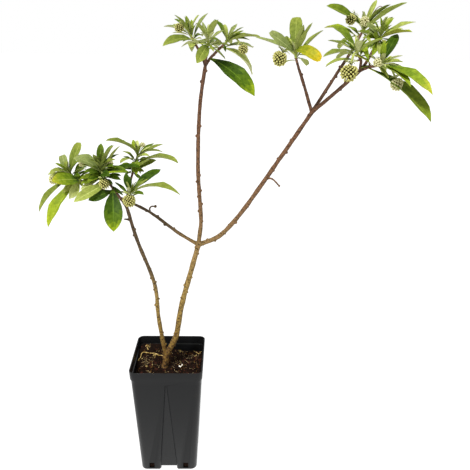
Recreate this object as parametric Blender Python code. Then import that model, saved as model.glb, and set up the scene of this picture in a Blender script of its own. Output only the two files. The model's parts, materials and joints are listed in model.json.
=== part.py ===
"""Potted paperbush: a young, forking shrub in a tall square nursery pot. Metres, +Z up.

The origin is the middle of the pot's flat underside and the front of the pot faces -Y.
Limbs are tapering tubes. Each head of foliage is one solid: a twig that meets its bough's
tip, short spurs on it, and leaves and flower-bud heads fused to both.
"""

import math
import random
from collections import namedtuple

import bmesh
import bpy
from mathutils import Quaternion, Vector
from mathutils.bvhtree import BVHTree

MM = 0.001
GAP = 0.3 * MM  # clear space between neighbouring solids
WELD = 0.002 * MM
SEED = 417

# Pot
POT_HEIGHT = 221.4 * MM
POT_FOOT_HALF = 50.8 * MM
POT_BODY_HALF = 64.0 * MM  # at the top, without the rim's step
RIM_STEP = 1.0 * MM
RIM_HEIGHT = 17.0 * MM
LIP = 2.0 * MM
WALL = 1.5 * MM
FLOOR = 2.0 * MM
CORNER_RADIUS = 11.0 * MM
CORNER_STEPS = 4
PLEAT_APEX = 194.0 * MM
PLEAT_DEPTH = 3.0 * MM
PLEAT_SPREAD = (17.5 * MM, 2.0 * MM)  # half width at the foot and at the apex
CHANNEL = Vector((15.0, 22.0, 6.0)) * MM  # half width, run inwards, height
CHANNEL_WALL = 1.6 * MM
SLOT = Vector((4.75, 6.0, 12.0)) * MM  # half width, half depth, height
SLOT_PLACE = (32.0 * MM, 3.0 * MM)  # from the middle of the side, from the underside
SOIL_TOP = 190.0 * MM
SOIL_INSET = WALL + 0.6 * MM

# Limbs
TRUNK_FOOT = Vector((-9.0, 0.0, 0.0)) * MM + Vector((0.0, 0.0, SOIL_TOP + GAP))
TRUNK_FORK = Vector((-6.0, 0.0, 216.0)) * MM
TRUNK_LEAN = Vector((0.1, 0.0, 1.0))
TRUNK_TIP_RADIUS = 6.6 * MM
FLARE = ((0.0, 9.6), (2.5, 9.0), (7.0, 7.9), (14.0, 7.1))  # height, radius in mm
STUBS = {"trunk": 26.0 * MM, "stem_main": 14.0 * MM}  # a fork's share of each limb that leaves it
SHORT_STUB = 11.0 * MM  # at every other fork
LIMB_STEP = 42.0 * MM
TWIG_STEP = 24.0 * MM
TWIG_WIDTHS = (4.6, 3.6)  # foot and tip of the twig that carries a head of leaves, in mm
STRAIGHT = 2.0 * MM  # of each tube at either end, so that neighbours meet face to face

# Foliage
STATIONS = (0.0, 0.15, 0.42, 0.72)
OUTLINE = (0.10, 0.30, 1.0, 0.78)  # share of the half width at each station
LEAF_THICK = 1.2 * MM
PETIOLE = 0.9 * MM
LEAF_RISE = 1.8  # mm from one leaf's root to the next along the twig
SPACE = 118.0 * MM  # a head of leaves reaches no further from its twig's tip
CLEAR = 1.2 * MM  # between the leaves of one head and whatever is not of it
GOLDEN = math.radians(137.5)
SPARE_TRIES = 90
SPARE_DROP = 20 * MM  # how far down its twig a spare leaf may start
SPARE_RISE = (-0.35, 0.75)  # how steeply it points down or up
SPARE_LENGTH = (52, 82)  # mm
SPARE_DROOP = (25, 60)  # degrees
SPARE_ROOM = math.radians(35)  # from the next leaf's direction
SPARE_BACK = 0.5  # the least share of its direction that points to the back
SPUR = 7 * MM

Limb = namedtuple("Limb", "name parent knees foot_width tip_width")
Leaf = namedtuple("Leaf", "tilt lean length droop turn drop kind")
Head = namedtuple("Head", "tilt lean reach width")
Whorl = namedtuple("Whorl", "name limb tip leaves heads spare")

# Knees and widths in mm; a limb starts at its parent's tip, and its last knee is its own tip.
LIMBS = (
    Limb("stem_left", "trunk", ((-16, -10, 307), (-19, -20, 374), (-43, -35, 459), (-55, -45, 517)),
         8.5, 6),
    Limb("stem_main", "trunk", ((15, 0, 260), (25, 2, 320), (44, 6, 392), (56, 10, 436)), 11.5, 9.5),
    Limb("bough_left", "stem_main", ((18, 15, 458), (-28, 25, 490), (-66, 35, 506)), 7, 5),
    Limb("bough_middle", "stem_main", ((61, 12, 481), (56, 16, 569), (59, 20, 668), (68, 22, 735)),
         8, 6.5),
    Limb("bough_right", "stem_main", ((93, 5, 454), (130, -3, 500), (183, -15, 585), (235, -30, 672)),
         9, 7),
    Limb("bough_right_inner", "bough_right", ((217, -40, 719), (210, -45, 735)), 6, 5),
    Limb("bough_right_middle", "bough_right", ((263, -15, 714), (297, 5, 763)), 6, 5),
    Limb("bough_right_outer", "bough_right", ((267, -55, 707), (294, -70, 736)), 6.5, 5.5),
)

# Small dead twigs: the limb, how far along it, their bends from there in mm, width, knob width.
SNAGS = (
    ("bough_left", 0.70, ((-1, -4, 8), (3, -8, 14), (10, -11, 15)), 3.0, 5.5),
    ("bough_right", 0.56, ((7, -5, 5), (14, -6, 3), (24, -7, -7)), 3.0, 4.0),
    ("stem_left", 0.93, ((-5, -2, 3), (-10, -4, 4)), 3.4, 0.0),
)

# Half width as a share of the length, and how far the two halves fold up, in degrees.
KINDS = {"full": (0.135, 12), "broad": (0.165, 6), "young": (0.085, 30)}


def leaf(tilt, lean, length, droop=40, turn=0, drop=0, kind="full"):
    """A leaf by the way it points.

    tilt is degrees from upright as seen from the front, lean degrees towards the front, and
    length mm from root to tip. droop is how far it bends over, in degrees, and turn how far its
    upper side faces the front. drop is mm down the twig from its tip, or 0 for the next place.
    """
    return Leaf(tilt, lean, length, droop, turn, drop, kind)


WHORLS = (
    Whorl("foliage_left_back", "bough_left", (-49, 50, 589), (
        leaf(-55, 35, 70, 45), leaf(-35, 45, 50, 20, kind="young"),
        leaf(-40, -60, 45, 10, kind="young"),
        leaf(65, 30, 60, 10, kind="young"), leaf(65, -60, 50, 10, kind="young"),
        leaf(85, 30, 92, 80, 15, 13), leaf(-110, 60, 50), leaf(50, 35, 55, 15, 0, 34, "young"),
        leaf(170, 65, 60, 60), leaf(-100, -30, 70, 20, 0, 36),
    ), (Head(30, 25, 21, 9),), 3),
    Whorl("foliage_left_front", "stem_left", (-47, -55, 548), (
        leaf(-35, -65, 45, 20), leaf(60, -50, 75, 15), leaf(85, 25, 90, 65), leaf(80, 50, 40, 20),
    ), (Head(-170, 25, 17, 21),), 4),
    Whorl("foliage_left_middle", "stem_left", (-100, -30, 577), (
        leaf(-72, -40, 60, 55), leaf(-5, -50, 55, 20), leaf(35, 25, 60, 20),
        leaf(0, 45, 45, 30, kind="young"), leaf(-112, 30, 56, 30, -30, 25),
        leaf(-120, -40, 60, 30, 0, 30), leaf(175, 32, 72, 40, 0, 36, "broad"),
    ), (Head(145, 45, 28, 17), Head(-70, -10, 29, 11), Head(58, -25, 21, 11)), 3),
    Whorl("foliage_left_outer", "bough_left", (-170, 40, 552), (
        leaf(-35, -50, 50, 20), leaf(25, 0, 62, 25, kind="broad"), leaf(-60, 60, 45, 60),
        leaf(-75, 50, 60, 35, 35, 25, "broad"), leaf(-140, 0, 88, 35), leaf(-147, 25, 97, 35, 15, 20),
    ), (Head(-95, 45, 26, 18),), 3),
    Whorl("foliage_middle_left", "bough_middle", (42, 45, 785), (
        leaf(-115, 45, 64, 85, 30, 1), leaf(-77, -40, 60, 25, kind="young"),
        leaf(-38, 50, 50, 20, kind="young"), leaf(-50, -50, 55, 20, kind="young"),
        leaf(-15, -50, 45, 10, kind="young"),
        leaf(5, -55, 38, 10, kind="young"), leaf(42, -38, 55, 20), leaf(110, 50, 35, 20, kind="young"),
        leaf(170, 60, 45, 40),
    ), (Head(-60, 30, 20, 15),), 2),
    Whorl("foliage_middle_front", "bough_middle", (74, -15, 774), (
        leaf(-35, 55, 50, 20), leaf(-20, -45, 42, 10, kind="young"), leaf(26, 50, 48, 20),
        leaf(55, -50, 45, 20), leaf(-125, 50, 56, 75, 10, 8), leaf(136, -40, 50, 20, kind="young"),
    ), (), 3),
    Whorl("foliage_middle_right", "bough_middle", (104, 40, 775), (
        leaf(-35, -40, 52, 20), leaf(30, -50, 48, 15, kind="young"), leaf(50, 50, 48, 20, kind="young"),
        leaf(84, 40, 66, 35), leaf(130, -28, 78, 55, 0, 16), leaf(127, 28, 100, 45, 25, 42, "broad"),
    ), (Head(115, 35, 32, 16),), 3),
    Whorl("foliage_right_inner", "bough_right_inner", (201, -50, 761), (
        leaf(-71, -30, 68, 10, kind="young"), leaf(-58, 25, 52, 25), leaf(5, -33, 58, 15, kind="broad"),
        leaf(10, 45, 52, 10, kind="young"), leaf(24, 45, 60, 10, kind="young"), leaf(56, -33, 66, 15),
        leaf(108, 50, 52, 100, 35, 1), leaf(-15, -37, 28, 10, kind="young"),
    ), (Head(-110, 30, 27, 22),), 2),
    Whorl("foliage_right_front", "bough_right_outer", (285, -75, 764), (
        leaf(-99, 30, 60, 20), leaf(-40, -48, 66, 30), leaf(55, 62, 60, 20, kind="young"),
        leaf(-20, 70, 42, 20),
    ), (Head(-158, 33, 35, 25),), 3),
    Whorl("foliage_right_top", "bough_right_middle", (317, 20, 797), (
        leaf(-66, 20, 77, 25, 25), leaf(10, -50, 42, 10, kind="young"), leaf(30, -36, 62, 25, kind="young"),
        leaf(38, 48, 60, 25), leaf(53, 45, 80, 20),
    ), (Head(-62, 22, 29, 17), Head(-20, 55, 18, 15)), 4),
    Whorl("foliage_right_back", "bough_right_outer", (327, -45, 785), (
        leaf(-69, 60, 45, 20), leaf(40, -42, 48, 15), leaf(70, -23, 66, 25), leaf(80, 62, 60, 25),
        leaf(-77, -55, 48, 20), leaf(-160, 50, 42, 40),
    ), (), 2),
    Whorl("foliage_right_outer", "bough_right_outer", (317, -100, 746), (
        leaf(34, -36, 62, 10), leaf(122, 44, 88, 35), leaf(133, 55, 64, 30), leaf(131, 35, 122, 30, 10, 26),
        leaf(85, -40, 52, 20),
    ), (Head(140, 26, 33, 18), Head(-65, 45, 14, 12)), 2),
)


def clear_scene():
    """Empty the file, so that only this model is in it."""
    for obj in list(bpy.data.objects):
        bpy.data.objects.remove(obj, do_unlink=True)


def collection(name):
    """A new collection in the scene."""
    made = bpy.data.collections.new(name)
    bpy.context.scene.collection.children.link(made)
    return made


def material(name, colour, roughness):
    """A Principled material of one colour."""
    made = bpy.data.materials.new(name)
    made.use_nodes = True
    shader = made.node_tree.nodes["Principled BSDF"]
    shader.inputs["Base Color"].default_value = (*colour, 1.0)
    shader.inputs["Roughness"].default_value = roughness
    shader.inputs["Metallic"].default_value = 0.0
    return made


def object_from(name, bm, home):
    """An object in the collection home, with the bmesh's faces pointing out."""
    bm.normal_update()
    bmesh.ops.recalc_face_normals(bm, faces=bm.faces)
    mesh = bpy.data.meshes.new(name)
    bm.to_mesh(mesh)
    bm.free()
    obj = bpy.data.objects.new(name, mesh)
    home.objects.link(obj)
    return obj


def boolean(obj, home, operation, solver="EXACT"):
    """Join or cut obj with every object of home, keep the result, and empty home."""
    modifier = obj.modifiers.new(operation.title(), "BOOLEAN")
    modifier.operation = operation
    modifier.operand_type = "COLLECTION"
    modifier.collection = home
    modifier.solver = solver
    bpy.context.view_layer.update()
    graph = bpy.context.evaluated_depsgraph_get()
    mesh = bpy.data.meshes.new_from_object(obj.evaluated_get(graph))
    obj.modifiers.clear()
    obj.data = mesh
    drop_scraps(mesh)
    for piece in list(home.objects):
        bpy.data.objects.remove(piece, do_unlink=True)


def island_of(vert):
    """Every vertex joined to this one by edges."""
    island, edge_of_it = {vert}, [vert]
    while edge_of_it:
        near = edge_of_it.pop()
        for edge in near.link_edges:
            far = edge.other_vert(near)
            if far not in island:
                island.add(far)
                edge_of_it.append(far)
    return island


def drop_scraps(mesh):
    """Keep only the largest connected piece of a joined mesh."""
    bm = bmesh.new()
    bm.from_mesh(mesh)
    bmesh.ops.remove_doubles(bm, verts=bm.verts, dist=WELD)
    bmesh.ops.dissolve_degenerate(bm, edges=bm.edges, dist=WELD)
    left, islands = set(bm.verts), []
    while left:
        islands.append(island_of(next(iter(left))))
        left -= islands[-1]
    largest = max(islands, key=len)
    bmesh.ops.delete(bm, geom=[vert for vert in bm.verts if vert not in largest], context="VERTS")
    bm.to_mesh(mesh)
    bm.free()


def finish(obj, name, surface):
    """Name a finished part, give it its material and shade it smooth but for its sharp edges."""
    obj.name = name
    obj.data.name = name
    obj.data.materials.clear()
    obj.data.materials.append(surface)
    obj.data.shade_smooth()
    obj.data.set_sharp_from_angle(angle=math.radians(35))


# Pot and soil


def half_width(z):
    """Half the pot's outside width at height z, without the rim's step."""
    return POT_FOOT_HALF + (POT_BODY_HALF - POT_FOOT_HALF) * z / POT_HEIGHT


def pot_ring(z, inset, step=0.0):
    """The pot's rounded-square section at height z, drawn in by inset, with a pleat in each side."""
    half = half_width(z) + step - inset
    radius = CORNER_RADIUS - inset
    share = min(z / PLEAT_APEX, 1.0)
    depth = PLEAT_DEPTH * (1.0 - share)
    spread = PLEAT_SPREAD[0] + (PLEAT_SPREAD[1] - PLEAT_SPREAD[0]) * share + inset
    across = (-spread, -spread + depth / 2 + 0.2 * MM, spread - depth / 2 - 0.2 * MM, spread)
    inwards = (0.0, depth, depth, 0.0)
    ring = []
    for side in range(4):
        turn = Quaternion((0, 0, 1), side * math.pi / 2)
        for x, back in zip(across, inwards):
            ring.append(turn @ Vector((x, back - half, z)))
        for k in range(CORNER_STEPS + 1):
            angle = (k / CORNER_STEPS - 1.0) * math.pi / 2
            corner = Vector((half - radius + radius * math.cos(angle), 0, z))
            corner.y = -(half - radius) + radius * math.sin(angle)
            ring.append(turn @ corner)
    return ring


def loft(name, rings, home):
    """A closed solid through rings of equally many points, with a face over each end."""
    bm = bmesh.new()
    rows = [[bm.verts.new(point) for point in ring] for ring in rings]
    count = len(rows[0])
    for low, high in zip(rows, rows[1:]):
        for i in range(count):
            j = (i + 1) % count
            bm.faces.new((low[i], low[j], high[j], high[i]))
    bm.faces.new(rows[0][::-1])
    bm.faces.new(rows[-1])
    bmesh.ops.triangulate(bm, faces=bm.faces)
    return object_from(name, bm, home)


def box(low, high, side, home):
    """A box between two corners, turned with one side of the pot."""
    bm = bmesh.new()
    bmesh.ops.create_cube(bm, size=1.0)
    size = high - low
    turn = Quaternion((0, 0, 1), side * math.pi / 2)
    for vert in bm.verts:
        vert.co = Vector(vert.co[i] * size[i] + (low[i] + high[i]) / 2 for i in range(3))
        vert.co = turn @ vert.co
    return object_from("box", bm, home)


def channel_boxes(grow, low_z, outer, home):
    """The four drainage channels as boxes, grown on every side but the outer one."""
    inner = POT_FOOT_HALF - PLEAT_DEPTH - CHANNEL.y
    for side in range(4):
        low = Vector((-CHANNEL.x - grow, -outer, low_z))
        high = Vector((CHANNEL.x + grow, -inner + grow, CHANNEL.z + grow))
        box(low, high, side, home)


def build_pot(parts, tools, surface):
    """The pot: a thin tapering shell with a stepped rim, pleats, channels and drain slots."""
    rim_foot = POT_HEIGHT - RIM_HEIGHT
    rings = [
        pot_ring(0.0, 0.0),
        pot_ring(PLEAT_APEX, 0.0),
        pot_ring(rim_foot - 0.5 * MM, 0.0),
        pot_ring(rim_foot + 0.5 * MM, 0.0, RIM_STEP),
        pot_ring(POT_HEIGHT, 0.0, RIM_STEP),
        pot_ring(POT_HEIGHT, LIP, RIM_STEP),
        pot_ring(rim_foot + 1.5 * MM, LIP, RIM_STEP),
        pot_ring(rim_foot, WALL),
        pot_ring(PLEAT_APEX, WALL),
        pot_ring(FLOOR, WALL),
    ]
    pot = loft("pot", rings, parts)
    wall_middle = POT_FOOT_HALF - PLEAT_DEPTH - WALL / 2
    channel_boxes(CHANNEL_WALL, 0.5 * MM, wall_middle, tools)
    boolean(pot, tools, "UNION")
    channel_boxes(0.0, -FLOOR, POT_FOOT_HALF + FLOOR, tools)
    for side in range(4):
        for way in (-1, 1):
            low = Vector((way * SLOT_PLACE[0] - SLOT.x, -POT_FOOT_HALF - SLOT.y, SLOT_PLACE[1]))
            high = low + Vector((2 * SLOT.x, 2 * SLOT.y, SLOT.z))
            box(low, high, side, tools)
    boolean(pot, tools, "DIFFERENCE")
    finish(pot, "pot", surface)


def build_soil(parts, tools, surface):
    """The soil: it fills the pot a gap clear of the wall, the floor and the channels."""
    rings = [
        pot_ring(FLOOR + GAP, SOIL_INSET),
        pot_ring(SOIL_TOP, SOIL_INSET),
    ]
    soil = loft("soil", rings, parts)
    channel_boxes(CHANNEL_WALL + GAP, -FLOOR, POT_FOOT_HALF, tools)
    boolean(soil, tools, "DIFFERENCE")
    finish(soil, "soil", surface)


# Limbs


def smooth_path(points, before=None):
    """A Catmull-Rom curve through the points, as a list of close points."""
    steps = 24
    ends = [before or 2 * points[0] - points[1], *points, 2 * points[-1] - points[-2]]
    path = []
    for a, b, c, d in zip(ends, ends[1:], ends[2:], ends[3:]):
        for k in range(steps):
            t = k / steps
            path.append(0.5 * (2 * b + (c - a) * t + (2 * a - 5 * b + 4 * c - d) * t**2
                               + (3 * b - a - 3 * c + d) * t**3))
    path.append(points[-1].copy())
    return path


def along(path, distance):
    """The point at a distance along the path; it runs on straight past either end."""
    walked = 0.0
    for a, b in zip(path, path[1:]):
        step = (b - a).length
        if walked + step >= distance:
            return a.lerp(b, (distance - walked) / step)
        walked += step
    return path[-1] + (path[-1] - path[-2]).normalized() * (distance - walked)


def length_of(path):
    """The path's length."""
    return sum((b - a).length for a, b in zip(path, path[1:]))


def tube(points, radii, sides, home):
    """A closed tube with flat ends through the points."""
    curve = bpy.data.curves.new("tube", "CURVE")
    curve.dimensions = "3D"
    curve.bevel_depth = 1.0 * MM
    curve.bevel_resolution = sides // 2 - 2
    curve.use_fill_caps = True
    spline = curve.splines.new("POLY")
    spline.points.add(len(points) - 1)
    for point, place, radius in zip(spline.points, points, radii):
        point.co = (*place, 1.0)
        point.radius = radius / MM
    guide = bpy.data.objects.new("tube", curve)
    home.objects.link(guide)
    bpy.context.view_layer.update()
    graph = bpy.context.evaluated_depsgraph_get()
    mesh = bpy.data.meshes.new_from_object(guide.evaluated_get(graph))
    bpy.data.objects.remove(guide, do_unlink=True)
    bm = bmesh.new()
    bm.from_mesh(mesh)
    bmesh.ops.remove_doubles(bm, verts=bm.verts, dist=1e-6)
    bpy.data.meshes.remove(mesh)
    return object_from("tube", bm, home)


def span_tube(path, start, end, radius_at, step, sides, home):
    """A tube over one stretch of a path, straight for a moment at each end."""
    count = max(2, round((end - start) / step))
    places = [start, start + STRAIGHT]
    places += [start + (end - start) * k / count for k in range(1, count)]
    places += [end - STRAIGHT, end]
    points = [along(path, place) for place in places]
    return tube(points, [radius_at(place) for place in places], sides, home)


def taper(path, foot_width, tip_width):
    """The radius at a distance along a limb, from its widths at foot and tip."""
    whole = length_of(path)

    def radius_at(distance):
        share = min(max(distance / whole, 0.0), 1.0)
        return (foot_width + (tip_width - foot_width) * share) / 2 * MM

    return radius_at


def stub_length(parent):
    """How far a fork runs out along each limb that leaves it."""
    return STUBS.get(parent, SHORT_STUB)


def grown_path(start, way, knees, parent):
    """A centre line that leaves its parent's tip straight, then bends through its knees."""
    straight = start + way.normalized() * (stub_length(parent) + 3 * MM)
    return [start.copy()] + smooth_path([straight, *knees], start)


def make_paths():
    """Every limb's and every head's centre line, each from its parent's tip."""
    tips = {"trunk": (TRUNK_FORK, TRUNK_LEAN)}
    paths, widths = {}, {}
    for limb in LIMBS:
        start = tips[limb.parent][0]
        knees = [Vector(knee) * MM for knee in limb.knees]
        path = grown_path(start, knees[0] - start, knees, limb.parent)
        paths[limb.name] = path
        widths[limb.name] = taper(path, limb.foot_width, limb.tip_width)
        tips[limb.name] = (path[-1], (path[-1] - path[-4]).normalized())
    for whorl in WHORLS:
        start, way = tips[whorl.limb]
        tip = Vector(whorl.tip) * MM
        path = grown_path(start, way * 0.5 + (tip - start).normalized(), [tip], whorl.limb)
        paths[whorl.name] = path
        widths[whorl.name] = taper(path, *TWIG_WIDTHS)
    return paths, widths


def stubs(parent, paths, widths, home):
    """The first stretch of each limb or twig that leaves this parent's tip."""
    children = [limb.name for limb in LIMBS if limb.parent == parent]
    children += [whorl.name for whorl in WHORLS if whorl.limb == parent]
    for child in children:
        path, radius_at = paths[child], widths[child]
        back = path[0] - (along(path, 3 * MM) - path[0]).normalized() * radius_at(0.0) * 0.6
        reach = stub_length(parent)
        points = [back, along(path, reach / 2), along(path, reach)]
        radii = [radius_at(0.0) * 0.92, radius_at(reach / 2), radius_at(reach)]
        tube(points, radii, 8, home)


def snags(limb_name, path, home):
    """The limb's small dead twigs."""
    for owner, share, bends, width, knob in SNAGS:
        if owner != limb_name:
            continue
        root = along(path, length_of(path) * share)
        points = smooth_path([root] + [root + Vector(bend) * MM for bend in bends])[::12]
        tube(points, [width / 2 * MM] * len(points), 6, home)
        if knob:
            bm = bmesh.new()
            bmesh.ops.create_icosphere(bm, subdivisions=1, radius=knob / 2 * MM)
            bmesh.ops.translate(bm, verts=bm.verts, vec=points[-1])
            object_from("knob", bm, home)


def build_trunk(paths, widths, parts, tools, surface):
    """The trunk, from its flat cut at soil level and its root flare to its low fork."""
    points = [TRUNK_FOOT + Vector((0.2 * height, 0, height)) * MM for height, _ in FLARE]
    points[0].x = points[1].x = TRUNK_FOOT.x
    radii = [radius * MM for _, radius in FLARE]
    trunk = tube(points + [TRUNK_FORK], radii + [TRUNK_TIP_RADIUS], 12, parts)
    stubs("trunk", paths, widths, tools)
    boolean(trunk, tools, "UNION")
    finish(trunk, "trunk", surface)


def build_limbs(paths, widths, parts, tools, surface):
    """Each stem and bough, joined to the stubs of what forks from its tip."""
    for limb in LIMBS:
        path, radius_at = paths[limb.name], widths[limb.name]
        start = stub_length(limb.parent) + GAP
        body = span_tube(path, start, length_of(path), radius_at, LIMB_STEP, 8, parts)
        stubs(limb.name, paths, widths, tools)
        snags(limb.name, path, tools)
        boolean(body, tools, "UNION")
        finish(body, limb.name, surface)


# Foliage


def heading(tilt, lean):
    """A direction from its tilt as seen from the front and its lean towards the front, in degrees."""
    a, b = math.radians(tilt), math.radians(lean)
    return Vector((math.sin(a) * math.cos(b), -math.sin(b), math.cos(a) * math.cos(b)))


def leaf_frame(chord, turn):
    """The leaf's upper-side normal, square to its chord: up, and turned towards the front."""
    up = Vector((0.0, -0.2, 1.0))
    normal = (up - up.dot(chord) * chord).normalized()
    return Quaternion(chord, math.radians(math.copysign(turn, chord.x * turn))) @ normal


def leaf_mesh(root, chord, length, droop, turn, kind):
    """A leaf as a closed bmesh: an arching midrib with a folded, lens-shaped section."""
    normal = leaf_frame(chord, turn)
    half_share, fold = KINDS[kind]
    bend = math.radians(max(droop, 2))
    radius = length / (2 * math.sin(bend / 2))
    centre = root + chord * length / 2 - normal * radius * math.cos(bend / 2)
    side = chord.cross(normal)
    bm = bmesh.new()
    rows = []
    for station, share in zip(STATIONS, OUTLINE):
        angle = bend * (station - 0.5)
        outward = normal * math.cos(angle) + chord * math.sin(angle)
        spine = centre + outward * radius
        half = max(length * half_share * share, PETIOLE)
        rise = half * math.tan(math.radians(fold))
        thick = LEAF_THICK / 2 if share > 0.5 else PETIOLE
        lift = outward * rise
        corners = (lift + side * half, outward * thick, lift - side * half, -outward * thick)
        rows.append([bm.verts.new(spine + corner) for corner in corners])
    tip_angle = bend / 2
    tip = bm.verts.new(centre + (normal * math.cos(tip_angle) + chord * math.sin(tip_angle)) * radius)
    for low, high in zip(rows, rows[1:]):
        for i in range(4):
            j = (i + 1) % 4
            bm.faces.new((low[i], low[j], high[j], high[i]))
    for i in range(4):
        bm.faces.new((rows[-1][i], rows[-1][(i + 1) % 4], tip))
    bm.faces.new(rows[0][::-1])
    return bm


def tree_of(obj, grow=0.0):
    """A search tree of an object's surface, grown outwards along its normals."""
    points = [vert.co + vert.normal * grow for vert in obj.data.vertices]
    return BVHTree.FromPolygons(points, [tuple(face.vertices) for face in obj.data.polygons])


def keep_if_clear(obj, name, trees):
    """Whether a new piece of the named head is clear of all else; it is removed if it isn't."""
    grown = tree_of(obj, CLEAR)
    others = [tree for owner, found in trees.items() if owner != name for tree in found]
    if any(grown.overlap(tree) for tree in others):
        bpy.data.objects.remove(obj, do_unlink=True)
        return False
    trees[name].append(tree_of(obj))
    return True


def add_named_leaves(whorl, path, trees, home):
    """The leaves that give the head its outline, spaced down the twig, and their directions."""
    whole = length_of(path)
    taken = []
    for rank, spec in enumerate(whorl.leaves):
        chord = heading(spec.tilt, spec.lean)
        length = spec.length * MM
        root = along(path, whole - spec.drop * MM)
        if not spec.drop:
            root = along(path, whole - (1 + LEAF_RISE * rank) * MM)
            reach = path[-1] + chord * length - root
            length, chord = reach.length, reach.normalized()
        bm = leaf_mesh(root, chord, length, spec.droop, spec.turn, spec.kind)
        if keep_if_clear(object_from("leaf", bm, home), whorl.name, trees):
            taken.append(chord)
    return taken


def add_head(whorl, head, path, trees, home):
    """A nodding head of flower buds on its stout, curved stalk."""
    root = along(path, length_of(path) - 5 * MM)
    centre = path[-1] + heading(head.tilt, head.lean) * head.reach * MM
    bm = bmesh.new()
    bmesh.ops.create_icosphere(bm, subdivisions=2 if head.width > 12 else 1, radius=head.width / 2 * MM)
    for vert in bm.verts:
        vert.co *= 1.06 if vert.index % 2 else 0.97
        vert.co += centre
    if keep_if_clear(object_from("head", bm, home), whorl.name, trees):
        rise = Vector((0, 0, head.reach * 0.35 * MM))
        points = smooth_path([root, root.lerp(centre, 0.5) + rise, centre])[::16]
        tube(points, [max(1.3, head.width * 0.07) * MM] * len(points), 6, home)


def add_spare_leaves(whorl, path, taken, rng, trees, home):
    """Leaves by rule, in the room that the named ones leave at the back, on short spurs."""
    whole = length_of(path)
    lowest = min(SPARE_DROP, whole - stub_length(whorl.limb) - 5 * MM)
    turn = rng.uniform(0, 2 * math.pi)
    kept = 0
    for _ in range(SPARE_TRIES):
        turn += GOLDEN
        chord = Vector((0.75 * math.cos(turn), math.sin(turn), rng.uniform(*SPARE_RISE))).normalized()
        length = rng.uniform(*SPARE_LENGTH) * MM
        droop = rng.uniform(*SPARE_DROOP)
        root = along(path, whole - rng.uniform(4 * MM, lowest))
        spur_tip = root + chord * SPUR
        crowded = any(chord.dot(other) > math.cos(SPARE_ROOM) for other in taken)
        strays = (spur_tip + chord * length - path[-1]).length > SPACE
        if kept == whorl.spare or crowded or strays or chord.y < SPARE_BACK:
            continue
        bm = leaf_mesh(spur_tip - chord * 2 * MM, chord, length, droop, 0, "full")
        if keep_if_clear(object_from("leaf", bm, home), whorl.name, trees):
            tube([root, root.lerp(spur_tip, 0.5), spur_tip], [1.5 * MM, 1.4 * MM, 1.2 * MM], 6, home)
            taken.append(chord)
            kept += 1


def build_foliage(paths, widths, parts, surface):
    """Each head of foliage, fused into one solid that keeps clear of the limbs and of the others."""
    rng = random.Random(SEED)
    trees = {obj.name: [tree_of(obj)] for obj in parts.objects}
    homes, twigs, taken = {}, {}, {}
    for whorl in WHORLS:
        path = paths[whorl.name]
        start = stub_length(whorl.limb) + GAP
        twig = span_tube(path, start, length_of(path), widths[whorl.name], TWIG_STEP, 8, parts)
        twigs[whorl.name] = twig
        homes[whorl.name] = collection(whorl.name + "_pieces")
        trees[whorl.name] = [tree_of(twig)]
    for whorl in WHORLS:
        home = homes[whorl.name]
        for head in whorl.heads:
            add_head(whorl, head, paths[whorl.name], trees, home)
        taken[whorl.name] = add_named_leaves(whorl, paths[whorl.name], trees, home)
    for whorl in WHORLS:
        home = homes[whorl.name]
        add_spare_leaves(whorl, paths[whorl.name], taken[whorl.name], rng, trees, home)
        boolean(twigs[whorl.name], home, "UNION")
        finish(twigs[whorl.name], whorl.name, surface)
        bpy.data.collections.remove(home)


def main():
    """Build the whole plant and its pot."""
    clear_scene()
    parts = collection("potted_paperbush")
    tools = collection("cutters_and_pieces")
    plastic = material("black_polypropylene", (0.032, 0.033, 0.036), 0.42)
    peat = material("bark_potting_mix", (0.055, 0.026, 0.015), 0.95)
    bark = material("paperbush_bark", (0.23, 0.13, 0.06), 0.8)
    green = material("paperbush_leaf", (0.19, 0.33, 0.05), 0.55)
    build_pot(parts, tools, plastic)
    build_soil(parts, tools, peat)
    paths, widths = make_paths()
    build_trunk(paths, widths, parts, tools, bark)
    build_limbs(paths, widths, parts, tools, bark)
    build_foliage(paths, widths, parts, green)
    bpy.data.collections.remove(tools)


main()
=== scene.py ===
"""Dress a potted paperbush: its nursery pot, soil, bark, twigs, leaves and flower-bud heads.

Metres, +Z up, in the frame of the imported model. Tables of the plant's growth are in mm.
"""

import json
import logging
import math
import random
from collections.abc import Callable, Iterator, Sequence
from contextlib import contextmanager
from dataclasses import dataclass, field
from enum import Enum

import bmesh
import bpy
from mathutils import Matrix, Quaternion, Vector
from mathutils.kdtree import KDTree

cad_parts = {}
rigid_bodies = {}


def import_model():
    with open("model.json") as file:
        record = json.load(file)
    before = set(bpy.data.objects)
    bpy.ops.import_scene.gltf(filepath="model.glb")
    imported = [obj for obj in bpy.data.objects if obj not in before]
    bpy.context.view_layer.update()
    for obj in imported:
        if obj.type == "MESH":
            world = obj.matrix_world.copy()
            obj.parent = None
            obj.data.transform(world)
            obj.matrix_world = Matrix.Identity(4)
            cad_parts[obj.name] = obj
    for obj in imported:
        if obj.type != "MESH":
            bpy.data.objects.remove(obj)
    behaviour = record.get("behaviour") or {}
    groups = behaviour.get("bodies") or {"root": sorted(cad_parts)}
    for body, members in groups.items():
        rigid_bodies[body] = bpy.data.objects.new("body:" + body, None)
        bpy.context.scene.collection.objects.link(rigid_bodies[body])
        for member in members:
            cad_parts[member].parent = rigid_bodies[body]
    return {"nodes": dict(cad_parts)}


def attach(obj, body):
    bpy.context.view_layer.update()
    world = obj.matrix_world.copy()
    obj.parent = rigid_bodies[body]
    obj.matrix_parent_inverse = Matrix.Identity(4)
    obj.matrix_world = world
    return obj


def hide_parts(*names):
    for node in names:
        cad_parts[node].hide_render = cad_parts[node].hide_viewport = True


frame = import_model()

LOG = logging.getLogger("potted_paperbush")
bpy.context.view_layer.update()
BODY = "root"
MM = 0.001
NEAR = 0.1 * MM  # heights that differ by less count as one
SEED = 417
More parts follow.
